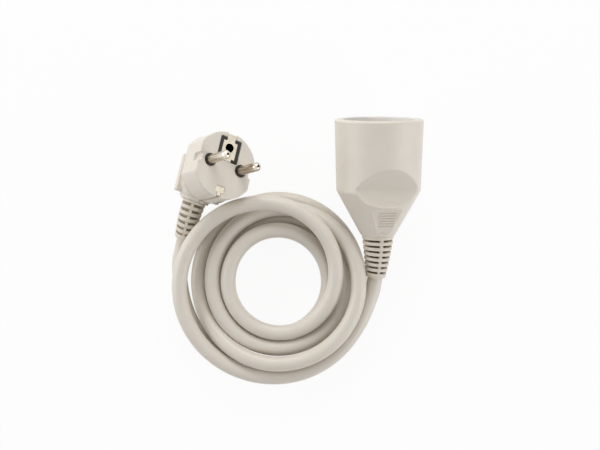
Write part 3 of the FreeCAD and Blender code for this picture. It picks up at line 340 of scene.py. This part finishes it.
def collar_mesh(name, place, outer, end_outer, bore, low, high, rounding):
    # A ring from low to high along its axis, each outer edge rounded over a quarter turn in four steps.
    angles = [math.radians(22.5 * step) for step in range(5)]
    profile = [(bore, low)]
    profile += [(outer - rounding + rounding * math.sin(angle), low + rounding - rounding * math.cos(angle))
                for angle in angles]
    profile += [(end_outer - rounding + rounding * math.cos(angle),
                 high - rounding + rounding * math.sin(angle)) for angle in angles]
    profile.append((bore, high))
    faces = ring_faces(len(profile), COLLAR_STEPS, True)
    return closed_mesh(name, lathe(profile, COLLAR_STEPS), faces, place)


def joined_mesh(name, *meshes):
    # One mesh made of several, with its own sharp edges.
    form = bmesh.new()
    for mesh in meshes:
        form.from_mesh(mesh)
    result = bpy.data.meshes.new(name)
    form.to_mesh(result)
    form.free()
    result.shade_smooth()
    result.set_sharp_from_angle(angle=SHARP_ANGLE)
    return result


def soft_least(first, second, blend):
    # The lesser of two values, rounded where they meet.
    near = np.maximum(blend - np.abs(first - second), 0) / blend
    return np.minimum(first, second) - near ** 2 * blend / 4


def soft_most(first, second, blend):
    # The greater of two values, rounded where they meet.
    return -soft_least(-first, -second, blend)


# Coupler housing: a turned form with a thumb scoop and a flat shield cut into it

MOUTH_RADIUS = 24.15
SHOULDER_RADIUS = 23.05
NECK_RADIUS = 9.35
SHOULDER_DEPTH = 38.8
NECK_DEPTH = 63.6
RIM_ROUND = 1.3
NECK_ROUND = 0.25
CONE_ROOM_END = -57.6
SEAT_END = -24.0
INNER_START = [(8.2, -NECK_DEPTH), (8.2, CONE_ROOM_END)]
INNER_WALL = [(10.6, CONE_ROOM_END), (19.6, -SHOULDER_DEPTH), (19.6, SEAT_END)]
INNER_SEAT = [(21.4, SEAT_END), (21.4, -0.35), (21.6, 0.0)]
SCOOP_SKIN = 2.0
SCOOP_UPPER = ((-23.0, 25.15), (-36.1, 15.2))
SCOOP_LOWER = ((-36.1, 15.2), (-43.9, 16.2))
SCOOP_WALL = ((-43.9, 16.2), (-50.9, 25.15))
SHIELD = ((-47.8, 15.9), (-61.5, 9.9))
SHIELD_END_SLOPE = 4.0
BORDER_RISE = 0.14
BORDER_WIDTH = 0.3
BORDER_REACH = 0.5
SHOULDER_BLEND = 0.5
SCOOP_BLEND = 0.25
SCOOP_WALL_BLEND = 0.3
SHIELD_BLEND = 0.2
LEAST_FACING = 0.05

# The mesh is fine over the thumb side and over the heights where the scoop and the shield are cut.
FINE_TURN = 70
FINE_COLUMNS = 225
PLAIN_COLUMNS = 60
INNER_ROWS = 56
OUTER_ROWS = [(-RIM_ROUND, -22, 12), (-22.3, -52.0, 130), (-52.4, -NECK_DEPTH + NECK_ROUND, 34)]
RIM_ROWS = 8
RIM_STEP = 12.8


def line_height(ends, along):
    # Height of a straight line, given by its two ends as place along and height, at a place along.
    (start, low), (end, high) = ends
    return low + (high - low) * (along - start) / (end - start)


def shell_radius(turn, along):
    # Radius of the housing at an angle from the thumb side and a height below the mouth.
    sleeve = line_height(((0, MOUTH_RADIUS), (-SHOULDER_DEPTH, SHOULDER_RADIUS)), along)
    cone = line_height(((-SHOULDER_DEPTH, SHOULDER_RADIUS), (-NECK_DEPTH, NECK_RADIUS)), along)
    plain = soft_least(sleeve, cone, SHOULDER_BLEND)
    facing = np.maximum(np.cos(turn), LEAST_FACING)
    floor = soft_most(line_height(SCOOP_UPPER, along), line_height(SCOOP_LOWER, along), SCOOP_BLEND)
    floor = soft_most(floor, line_height(SCOOP_WALL, along), SCOOP_WALL_BLEND)
    cut = soft_least(plain, floor / facing, SCOOP_BLEND)
    shield = line_height(SHIELD, along)
    shield = shield + np.maximum(along - SHIELD[0][0], 0) * SHIELD_END_SLOPE
    shield = shield + np.maximum(SHIELD[1][0] - along, 0) * SHIELD_END_SLOPE
    flat = shield / facing
    below_top = along < SHIELD[0][0] + BORDER_REACH
    border = BORDER_RISE * np.exp(-((flat - plain) / BORDER_WIDTH) ** 2) * below_top
    return soft_least(cut, flat, SHIELD_BLEND) + border


def coupler_housing():
    # Rings of radii from the neck up the inside, around the rim and down the outside.
    turns = np.concatenate([np.radians(np.linspace(-FINE_TURN, FINE_TURN, FINE_COLUMNS)),
                            np.radians(np.linspace(FINE_TURN, 360 - FINE_TURN, PLAIN_COLUMNS))[1:-1]])
    lows = np.concatenate([np.linspace(*span) for span in OUTER_ROWS])
    rows = [(np.full(turns.shape, radius), along) for radius, along in INNER_START]
    heights = [along for radius, along in INNER_WALL]
    for along in np.linspace(heights[0], heights[-1], INNER_ROWS):
        wall = np.interp(along, heights, [radius for radius, height in INNER_WALL])
        rows.append((np.minimum(wall, shell_radius(turns, along) - SCOOP_SKIN), along))
    rows += [(np.full(turns.shape, radius), along) for radius, along in INNER_SEAT]
    for step in range(RIM_ROWS):
        angle = math.radians(90 - RIM_STEP * step)
        rows.append((np.full(turns.shape, MOUTH_RADIUS - RIM_ROUND + RIM_ROUND * math.cos(angle)),
                     -RIM_ROUND + RIM_ROUND * math.sin(angle)))
    for along in lows:
        rows.append((shell_radius(turns, along), along))
    rows.append((shell_radius(turns, -NECK_DEPTH) - NECK_ROUND, -NECK_DEPTH))
    points = [(-radius * math.sin(turn), radius * math.cos(turn), along)
              for ring, along in rows for radius, turn in zip(ring, turns)]
    mesh = closed_mesh("coupler_housing", points, ring_faces(len(rows), len(turns), True), COUPLER)
    return piece("coupler_housing", mesh, "housing", "coupler_shell")


coupler_housing()


# Pieces that repeat, made with Geometry Nodes

def grown(name, tree, values):
    # The plain mesh that a tree makes with the given input values.
    holder = bpy.data.objects.new(name + "_holder", bpy.data.meshes.new(name))
    bpy.context.scene.collection.objects.link(holder)
    modifier = holder.modifiers.new(name, "NODES")
    modifier.node_group = tree
    names = {item.name: item.identifier for item in tree.interface.items_tree
             if item.item_type == "SOCKET" and item.in_out == "INPUT"}
    for label, value in values.items():
        modifier[names[label]] = value
    bpy.context.view_layer.update()
    seen = holder.evaluated_get(bpy.context.evaluated_depsgraph_get())
    mesh = bpy.data.meshes.new_from_object(seen)
    holder.modifiers.remove(modifier)
    bpy.data.objects.remove(holder)
    mesh.shade_smooth()
    mesh.set_sharp_from_angle(angle=SHARP_ANGLE)
    return mesh


def new_tree(name, inputs):
    # A Geometry Nodes tree with one mesh output, and the outputs of its group input.
    tree = bpy.data.node_groups.new(name, "GeometryNodeTree")
    tree.interface.new_socket("Mesh", in_out="OUTPUT", socket_type="NodeSocketGeometry")
    for label, kind in inputs:
        tree.interface.new_socket(label, in_out="INPUT", socket_type="NodeSocket" + kind)
    return tree, add(tree, "NodeGroupInput").outputs


def finish_tree(tree, geometry, material):
    # Ends a tree in plain geometry with its material.
    plain = add(tree, "GeometryNodeRealizeInstances", links={"Geometry": geometry})
    painted = add(tree, "GeometryNodeSetMaterial", links={"Geometry": plain.outputs[0], "Material": material})
    add(tree, "NodeGroupOutput", links={0: painted.outputs[0]})


def repeated(tree, points, item, first_way, second_way, count, last_scale):
    # The item on each point, Z along first_way and X along second_way, narrower towards the end.
    upright = add(tree, "FunctionNodeAlignRotationToVector", {"axis": "Z"}, {"Vector": first_way})
    facing = add(tree, "FunctionNodeAlignRotationToVector", {"axis": "X", "pivot_axis": "Z"},
                 {"Rotation": upright.outputs[0], "Vector": second_way})
    number = add(tree, "GeometryNodeInputIndex")
    last = add(tree, "ShaderNodeMath", {"operation": "SUBTRACT"}, {0: count, 1: 1.0})
    share = add(tree, "ShaderNodeMapRange", links={"Value": number.outputs[0], "From Max": last.outputs[0],
                                                   "To Min": 1.0, "To Max": last_scale})
    scale = add(tree, "ShaderNodeCombineXYZ", links={0: share.outputs[0], 1: share.outputs[0], 2: 1.0})
    copies = add(tree, "GeometryNodeInstanceOnPoints", links={
        "Points": points, "Instance": item, "Rotation": facing.outputs[0], "Scale": scale.outputs[0]})
    return copies.outputs[0]


def sleeve_tree():
    # Rings along a bent line, each with four webs across the slot before it, growing smaller to the end.
    tree, given = new_tree("slotted_sleeve", [
        ("Start", "Vector"), ("Bend", "Vector"), ("End", "Vector"), ("Across", "Vector"), ("Rows", "Int"),
        ("Last Scale", "Float"), ("Ring Middle", "Float"), ("Ring Depth", "Float"), ("Ring Width", "Float"),
        ("Rounding", "Float"), ("Web Size", "Vector"), ("Web Place", "Vector"), ("Material", "Material")])
    circle = add(tree, "GeometryNodeCurvePrimitiveCircle",
                 links={"Resolution": 96, "Radius": given["Ring Middle"]})
    section = add(tree, "GeometryNodeCurvePrimitiveQuadrilateral",
                  links={"Width": given["Ring Depth"], "Height": given["Ring Width"]})
    rounded = add(tree, "GeometryNodeFilletCurve", {"mode": "POLY"},
                  {"Curve": section.outputs[0], "Count": 4, "Radius": given["Rounding"]})
    ring = add(tree, "GeometryNodeCurveToMesh",
               links={"Curve": circle.outputs[0], "Profile Curve": rounded.outputs[0]})
    bar = add(tree, "GeometryNodeMeshCube", links={"Size": given["Web Size"]})
    set_out = add(tree, "GeometryNodeTransform",
                  links={"Geometry": bar.outputs[0], "Translation": given["Web Place"]})
    unit = add(tree, "GeometryNodeJoinGeometry")
    tree.links.new(ring.outputs[0], unit.inputs[0])
    for quarter in range(4):
        web = add(tree, "GeometryNodeTransform", links={"Geometry": set_out.outputs[0],
                                                        "Rotation": (0, 0, quarter * math.pi / 2)})
        tree.links.new(web.outputs[0], unit.inputs[0])
    path = add(tree, "GeometryNodeCurveQuadraticBezier", links={
        "Resolution": 64, "Start": given["Start"], "Middle": given["Bend"], "End": given["End"]})
    spots = add(tree, "GeometryNodeCurveToPoints", {"mode": "COUNT"},
                {"Curve": path.outputs[0], "Count": given["Rows"]})
    rings = repeated(tree, spots.outputs["Points"], unit.outputs[0], spots.outputs["Tangent"],
                     given["Across"], given["Rows"], given["Last Scale"])
    finish_tree(tree, rings, given["Material"])
    return tree


def rib_tree():
    # Round-topped bars side by side on a slope, growing shorter towards the end.
    tree, given = new_tree("shield_ribs", [
        ("Start", "Vector"), ("Step", "Vector"), ("Out", "Vector"), ("Across", "Vector"), ("Rows", "Int"),
        ("Last Scale", "Float"), ("Rib Size", "Vector"), ("Material", "Material")])
    bar = add(tree, "GeometryNodeMeshCube", links={"Size": given["Rib Size"], "Vertices X": 10})
    rounded = add(tree, "GeometryNodeSubdivisionSurface", links={"Mesh": bar.outputs[0], "Level": 2})
    line = add(tree, "GeometryNodeMeshLine", {"mode": "OFFSET"},
               {"Count": given["Rows"], "Start Location": given["Start"], "Offset": given["Step"]})
    ribs = repeated(tree, line.outputs[0], rounded.outputs[0], given["Out"], given["Across"], given["Rows"],
                    given["Last Scale"])
    finish_tree(tree, ribs, given["Material"])
    return tree


RIB_DEPTH = 49.9
RIB_SHIFT = -0.9
RIB_PITCH = 1.65
RIB_COUNT = 6
RIB_SIZE = (10.6, 1.15, 1.5)
LAST_RIB_SCALE = 0.78


def shield_ribs():
    # Grip ribs across the shield.
    first = Vector((RIB_SHIFT, line_height(SHIELD, -RIB_DEPTH), -RIB_DEPTH))
    second = Vector((RIB_SHIFT, line_height(SHIELD, -RIB_DEPTH - RIB_PITCH), -RIB_DEPTH - RIB_PITCH))
    step = (second - first).normalized() * RIB_PITCH
    turned = COUPLER.to_3x3()
    mesh = grown("shield_ribs", rib_tree(), {
        "Start": COUPLER @ (first * MM), "Step": turned @ step * MM, "Across": turned @ Vector((1, 0, 0)),
        "Out": turned @ Vector((0, -step.z, step.y)), "Rows": RIB_COUNT, "Last Scale": LAST_RIB_SCALE,
        "Rib Size": Vector(RIB_SIZE) * MM, "Material": FINISHES["housing"]})
    return piece("shield_ribs", mesh, "housing")


shield_ribs()

SLEEVE_TREE = sleeve_tree()
SLOT_WIDTH = 1.2
END_RING = 0.9
WEB_WIDTH = 1.6
SLEEVE_BORE = 3.9
RING_ROUND = 0.35
COLLAR_ROUND = 0.3
END_RING_STEP = 0.05
WEB_SINK = 0.2
WEB_LAP = 0.3


def bend_at(start, way, side, length, bend, along):
    # Point and direction at a distance along an arc that turns from way towards side.
    angle = math.radians(bend) * along / length
    radius = length / math.radians(bend)
    point = start + way * (radius * math.sin(angle)) + side * (radius * (1 - math.cos(angle)))
    return point, way * math.cos(angle) + side * math.sin(angle)


def sleeve(name, place, start, way, side, bend, rows, pitch, collar, radii, web_way):
    # A bend sleeve: a collar at the housing, the slotted rings, and a wider ring at the end.
    length = rows * pitch + END_RING
    ring_width = pitch - SLOT_WIDTH
    first_at = SLOT_WIDTH + ring_width / 2
    last_at = first_at + (rows - 1) * pitch

    def radius_at(along):
        return radii[0] + (radii[1] - radii[0]) * along / length

    first, first_way = bend_at(start, way, side, length, bend, first_at)
    last = bend_at(start, way, side, length, bend, last_at)[0]
    chord = last - first
    corner = first + first_way * (chord.length / 2 / first_way.dot(chord.normalized()))
    last_scale = radius_at(last_at) / radius_at(first_at)
    inner = SLEEVE_BORE / last_scale
    depth = radius_at(first_at) - inner
    web = Vector((depth, WEB_WIDTH, SLOT_WIDTH + 2 * WEB_LAP))
    web_place = Vector((inner + depth / 2 - WEB_SINK, 0, -ring_width / 2 - SLOT_WIDTH / 2))
    turned = place.to_3x3()
    rings = grown(name + "_rings", SLEEVE_TREE, {
        "Start": place @ (first * MM), "Bend": place @ (corner * MM), "End": place @ (last * MM),
        "Across": turned @ web_way, "Rows": rows, "Last Scale": last_scale,
        "Ring Middle": (inner + depth / 2) * MM, "Ring Depth": depth * MM, "Ring Width": ring_width * MM,
        "Rounding": RING_ROUND * MM, "Web Size": web * MM, "Web Place": web_place * MM,
        "Material": FINISHES["relief"]})
    collar_place = place @ place_of(start * MM, web_way, way.cross(web_way), way)
    collar_ring = collar_mesh(name + "_collar", collar_place, radii[0], radii[0], SLEEVE_BORE,
                              -collar, 0, COLLAR_ROUND)
    ring_start, ring_way = bend_at(start, way, side, length, bend, last_at - ring_width / 2)
    sideways = (web_way - ring_way * web_way.dot(ring_way)).normalized()
    end_place = place @ place_of(ring_start * MM, sideways, ring_way.cross(sideways), ring_way)
    end_ring = collar_mesh(name + "_end", end_place, radius_at(last_at) + END_RING_STEP, radii[1],
                           SLEEVE_BORE, 0, ring_width + END_RING, RING_ROUND)
    mesh = joined_mesh(name, rings, collar_ring, end_ring)
    return piece(name, mesh, "relief")


def coupler_side(down, left):
    # A direction across the coupler, given as amounts down and left before it is rolled.
    across = Vector((left, -down, 0)).normalized()
    return Matrix.Rotation(COUPLER_ROLL, 3, "Z") @ across


# Each collar ends 0.03 mm short of its housing.
SLEEVE_DROP = 6.0
SLEEVE_SWING = 4.0
coupler_sleeve = sleeve(
    "coupler_bend_sleeve", COUPLER, start=Vector((0, 0, -65.6)), way=Vector((0, 0, -1)),
    side=coupler_side(SLEEVE_DROP, SLEEVE_SWING), bend=math.hypot(SLEEVE_DROP, SLEEVE_SWING),
    rows=7, pitch=2.95, collar=1.97, radii=(8.65, 5.6), web_way=Vector((0, 1, 0)))
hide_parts("coupler_strain_relief")

OUTLET_TILT = math.radians(15)
OUTLET_START = Vector((0, -9.0, -25.5))
OUTLET_WAY = Vector((0, -math.cos(OUTLET_TILT), -math.sin(OUTLET_TILT)))
OUTLET_RISE = Vector((0, -math.sin(OUTLET_TILT), math.cos(OUTLET_TILT)))
OUTLET_LENGTH = 8.5
SEAT_GAP = 0.2
PLUG_COLLAR = 1.4
PLUG_WEB_TURN = math.radians(27)
# The plug's sleeve bends towards this direction of the frame.
CORD_WAY = Vector((-0.17, -0.82, -0.545))
goal = PLUG.to_3x3().inverted() @ CORD_WAY
plug_sleeve = sleeve(
    "plug_bend_sleeve", PLUG, start=OUTLET_START + OUTLET_WAY * (OUTLET_LENGTH + SEAT_GAP + PLUG_COLLAR),
    way=OUTLET_WAY, side=(goal - OUTLET_WAY * goal.dot(OUTLET_WAY)).normalized(), bend=31.0,
    rows=6, pitch=3.15, collar=1.57, radii=(6.5, 5.5),
    web_way=Vector((1, 0, 0)) * math.cos(PLUG_WEB_TURN) + OUTLET_RISE * math.sin(PLUG_WEB_TURN))
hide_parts("plug_strain_relief")


# Cord: one smooth line of a lead, about five and a half loose turns and a second lead

COIL_CENTRE = (-55.8, -47.14)
# Each key is a turn, a radius and a height of the cord's middle.
RADIUS, HEIGHT = 1, 2
COIL_KEYS = [
    (0.08, 50.9, 13.1), (0.25, 53.0, 13.6), (0.50, 53.7, 18.2), (0.75, 43.0, 23.2),
    (1.00, 32.1, 20.8), (1.25, 28.3, 14.8), (1.50, 27.0, 14.2), (1.75, 28.6, 12.9),
    (2.00, 28.8, 9.0), (2.25, 30.0, 4.4), (2.50, 31.0, 4.2), (2.75, 34.6, 4.2),
    (3.00, 38.3, 9.4), (3.25, 37.2, 13.2), (3.50, 35.9, 12.5), (3.75, 40.6, 11.5),
    (4.00, 45.3, 20.6), (4.25, 45.0, 20.9), (4.50, 44.2, 5.4), (4.75, 46.0, 4.2),
    (5.00, 46.4, 4.2), (5.25, 51.8, 4.2), (5.47, 53.7, 4.2),
]
POINTS_IN_TURN = 16


def key_slope(number, column):
    # Radii change evenly; heights never dip below their keys.
    before = COIL_KEYS[max(number - 1, 0)]
    here = COIL_KEYS[number]
    after = COIL_KEYS[min(number + 1, len(COIL_KEYS) - 1)]
    at_end = before is here or after is here
    if column == RADIUS:
        return (after[RADIUS] - before[RADIUS]) / (after[0] - before[0])
    if at_end:
        return 0.0
    rise = (here[HEIGHT] - before[HEIGHT]) / (here[0] - before[0])
    fall = (after[HEIGHT] - here[HEIGHT]) / (after[0] - here[0])
    return 2 * rise * fall / (rise + fall) if rise * fall > 0 else 0.0


def coil_value(turn, column):
    # Value of a column of the keys at a turn, on a smooth line through the keys.
    number = max(index for index in range(len(COIL_KEYS) - 1) if COIL_KEYS[index][0] <= turn + 1e-9)
    first, last = COIL_KEYS[number], COIL_KEYS[number + 1]
    span = last[0] - first[0]
    share = (turn - first[0]) / span
    start_slope = key_slope(number, column) * span
    end_slope = key_slope(number + 1, column) * span
    return ((2 * share ** 3 - 3 * share ** 2 + 1) * first[column]
            + (share ** 3 - 2 * share ** 2 + share) * start_slope
            + (-2 * share ** 3 + 3 * share ** 2) * last[column]
            + (share ** 3 - share ** 2) * end_slope)


def coil_points():
    # Control points a little outside the turns, because the line passes inside its control points.
    outside = 1 / math.cos(math.pi / POINTS_IN_TURN)
    first, last = COIL_KEYS[0][0], COIL_KEYS[-1][0]
    count = round((last - first) * POINTS_IN_TURN)
    points = []
    for number in range(count + 1):
        turn = first + (last - first) * number / count
        radius = coil_value(turn, RADIUS) * outside
        angle = -2 * math.pi * turn
        points.append((COIL_CENTRE[0] + radius * math.cos(angle),
                       COIL_CENTRE[1] + radius * math.sin(angle), coil_value(turn, HEIGHT)))
    return points


COUPLER_LEAD = [(-1.18, -44.19, 14.48), (-1.92, -50.78, 13.01), (-4.4, -58.04, 13.1)]
PLUG_LEAD = [(-111.4, -37.04, 4.9), (-108.6, -27.44, 7.1), (-107.43, -22.31, 10.01)]


def cord_piece():
    # The cord and the place in metres where it leaves the coupler's sleeve.
    curve = bpy.data.curves.new("cord", "CURVE")
    curve.dimensions = "3D"
    curve.bevel_depth = SHEATH_RADIUS * MM
    curve.bevel_resolution = 8
    curve.resolution_u = 10
    curve.use_fill_caps = True
    spline = curve.splines.new("NURBS")
    points = COUPLER_LEAD + coil_points() + PLUG_LEAD
    spline.points.add(len(points) - 1)
    for point, spot in zip(spline.points, points):
        point.co = [value * MM for value in spot] + [1.0]
    spline.order_u = 3
    spline.use_endpoint_u = True
    item = bpy.data.objects.new("cord", curve)
    bpy.context.scene.collection.objects.link(item)
    curve.materials.append(FINISHES["sheath"])
    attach(item, "root")
    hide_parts("cord_lead_coupler", "cord_coil", "cord_lead_plug")
    return item, [value * MM for value in points[0]]


cord, cord_exit = cord_piece()


# Solids whose edges are softened as moulding and stamping leave them

def softened(name, node, voxel, passes, material=None):
    # A copy of a solid with its edges rounded, remade in voxels of the given size and smoothed.
    source = frame["nodes"][node]
    mesh = source.data.copy()
    mesh.materials.clear()
    form = bmesh.new()
    form.from_mesh(mesh)
    bmesh.ops.remove_doubles(form, verts=form.verts, dist=1e-6)
    form.to_mesh(mesh)
    form.free()
    item = bpy.data.objects.new(name + "_raw", mesh)
    bpy.context.scene.collection.objects.link(item)
    remesh = item.modifiers.new("voxels", "REMESH")
    remesh.mode = "VOXEL"
    remesh.voxel_size = voxel * MM
    remesh.use_smooth_shade = True
    smooth = item.modifiers.new("edges", "SMOOTH")
    smooth.factor = 0.5
    smooth.iterations = passes
    bpy.context.view_layer.update()
    seen = item.evaluated_get(bpy.context.evaluated_depsgraph_get())
    result = bpy.data.meshes.new_from_object(seen)
    bpy.data.objects.remove(item)
    result.materials.clear()
    if material:
        result.materials.append(material)
    return piece(name, result, SLOTS[node], node)


plug_housing = softened("plug_housing", "plug_shell", 0.4, 3)
pin_bridge = softened("pin_bridge", "plug_pin_bridge", 0.2, 2)
earth_strip = softened("earth_strip", "plug_earth_strip", 0.12, 2, STRIP_METAL)
side_contact = softened("earth_side_contact", "plug_earth_side_contact", 0.12, 2, STRIP_METAL)
softened("socket_cup", "socket_insert", 0.34, 3)


# Pins

PIN_RADIUS = 2.4
PIN_ROOT = -12.0
DOME_START = 16.6
DOME_STEP = 9.2
DOME_STEPS = 8
CENTRE_HOLE = [(0.72, 18.86), (0.66, 18.7), (0.6, 17.9), (0, 17.7)]
TIP_HEIGHT = 18.9
DARK_REACH = 1.25
DARK_RADIUS = 0.73


def turned_pin(name, node, x):
    # A turned pin with a domed tip and a small centre hole, whose faces take the black plastic as painted
    # shade inside the hole.
    profile = [(0, PIN_ROOT), (PIN_RADIUS, PIN_ROOT), (PIN_RADIUS, DOME_START)]
    for step in range(1, DOME_STEPS + 1):
        angle = math.radians(step * DOME_STEP)
        profile.append((PIN_RADIUS * math.cos(angle), DOME_START + PIN_RADIUS * math.sin(angle)))
    profile += CENTRE_HOLE
    faces = ring_faces(len(profile), PIN_STEPS, False)
    mesh = closed_mesh(name, lathe(profile, PIN_STEPS, x), faces, PLUG)
    mesh.materials.append(FINISHES["pin_nickel"])
    mesh.materials.append(FINISHES["black_bridge"])
    # Painted shade: faces in the centre hole near the tip take the black plastic.
    tip = PLUG @ (Vector((x, 0, TIP_HEIGHT)) * MM)
    for face in mesh.polygons:
        away = face.center - tip
        if away.length < DARK_REACH * MM and away.cross(plug_axis).length < DARK_RADIUS * MM:
            face.material_index = 1
    return piece(name, mesh, "pin_nickel", node)


line = turned_pin("line_pin", "pin_line", -PIN_SPACING / 2)
neutral = turned_pin("neutral_pin", "pin_neutral", PIN_SPACING / 2)

for node, item in frame["nodes"].items():
    for place in item.material_slots:
        place.material = FINISHES[SLOTS[node]]
# The cord ends seen in the sleeves' slots and the earth socket take their painted shade materials.
for node, material in (("coupler_cord_end", COUPLER_SLOT_SHADE), ("plug_cord_end", PLUG_SLOT_SHADE),
                       ("earth_socket", SHADED_SOCKET_METAL)):
    for place in frame["nodes"][node].material_slots:
        place.material = material


# Floor, light and camera

FLOOR_HALF = 6.0
FLOOR_SHINE = 0.92
SKY_STRENGTH = 0.38
LAMP_TARGET = (-0.045, -0.02, 0.02)
WHITE = (1, 1, 1, 1)


def any_of(tree, rays, *names):
    # One where a ray is of any of the named kinds.
    total = rays.outputs[names[0]]
    for name in names[1:]:
        greater = add(tree, "ShaderNodeMath", {"operation": "MAXIMUM"}, {0: total, 1: rays.outputs[name]})
        total = greater.outputs[0]
    return total


def floor_paint():
    # White paper: shown nearly as bright as the background, and it still takes the object's shadow.
    material = bpy.data.materials.new("white_paper_floor")
    material.use_nodes = True
    tree = material.node_tree
    tree.nodes.clear()
    paper = add(tree, "ShaderNodeBsdfDiffuse", links={"Color": colour("#fafafa")})
    shine = add(tree, "ShaderNodeEmission", links={"Color": WHITE, "Strength": 1.0})
    rays = add(tree, "ShaderNodeLightPath")
    seen = any_of(tree, rays, "Is Camera Ray", "Is Glossy Ray", "Is Transmission Ray")
    share = add(tree, "ShaderNodeMath", {"operation": "MULTIPLY"}, {0: seen, 1: FLOOR_SHINE})
    mix = add(tree, "ShaderNodeMixShader",
              links={0: share.outputs[0], 1: paper.outputs[0], 2: shine.outputs[0]})
    add(tree, "ShaderNodeOutputMaterial", links={"Surface": mix.outputs[0]})
    return material


def floor():
    mesh = bpy.data.meshes.new("floor")
    corners = [(-FLOOR_HALF, -FLOOR_HALF, 0), (FLOOR_HALF, -FLOOR_HALF, 0),
               (FLOOR_HALF, FLOOR_HALF, 0), (-FLOOR_HALF, FLOOR_HALF, 0)]
    mesh.from_pydata(corners, [], [(0, 1, 2, 3)])
    mesh.materials.append(floor_paint())
    item = bpy.data.objects.new("floor", mesh)
    bpy.context.scene.collection.objects.link(item)


def lamp(name, place, size, power):
    # A square soft box in metres and watts, turned towards the middle of the object.
    light = bpy.data.lights.new(name, "AREA")
    light.shape = "SQUARE"
    light.size = size
    light.energy = power
    item = bpy.data.objects.new(name, light)
    item.location = place
    item.rotation_euler = (Vector(LAMP_TARGET) - Vector(place)).to_track_quat("-Z", "Y").to_euler()
    bpy.context.scene.collection.objects.link(item)


def world_light():
    # An even sky that lights softly and shows as white.
    world = bpy.data.worlds.new("studio")
    world.use_nodes = True
    tree = world.node_tree
    tree.nodes.clear()
    rays = add(tree, "ShaderNodeLightPath")
    seen = any_of(tree, rays, "Is Camera Ray", "Is Glossy Ray", "Is Transmission Ray")
    dim = add(tree, "ShaderNodeBackground", links={"Color": WHITE, "Strength": SKY_STRENGTH})
    white = add(tree, "ShaderNodeBackground", links={"Color": WHITE, "Strength": 1.0})
    mix = add(tree, "ShaderNodeMixShader", links={0: seen, 1: dim.outputs[0], 2: white.outputs[0]})
    add(tree, "ShaderNodeOutputWorld", links={"Surface": mix.outputs[0]})
    bpy.context.scene.world = world


CAMERA_SPOT_M = (-0.0429, -0.01574, 0.62)
SENSOR_MM = 36.0
IMAGE_WIDTH = 600
FOCAL_PIXELS = 1091


def camera():
    # Straight above the object, as in the photograph.
    data = bpy.data.cameras.new("camera")
    data.sensor_width = SENSOR_MM
    data.lens = SENSOR_MM * FOCAL_PIXELS / IMAGE_WIDTH
    data.clip_start = 0.01
    item = bpy.data.objects.new("camera", data)
    item.location = CAMERA_SPOT_M
    bpy.context.scene.collection.objects.link(item)
    bpy.context.scene.camera = item


floor()
world_light()
lamp("left_lamp", (-1.15, 0.12, 0.44), 0.95, 6.2)
lamp("right_lamp", (1.0, -0.45, 0.44), 0.95, 6.2)
lamp("far_lamp", (-0.05, 1.05, 0.62), 0.8, 7.0)
camera()
bpy.context.scene.view_settings.view_transform = "Standard"
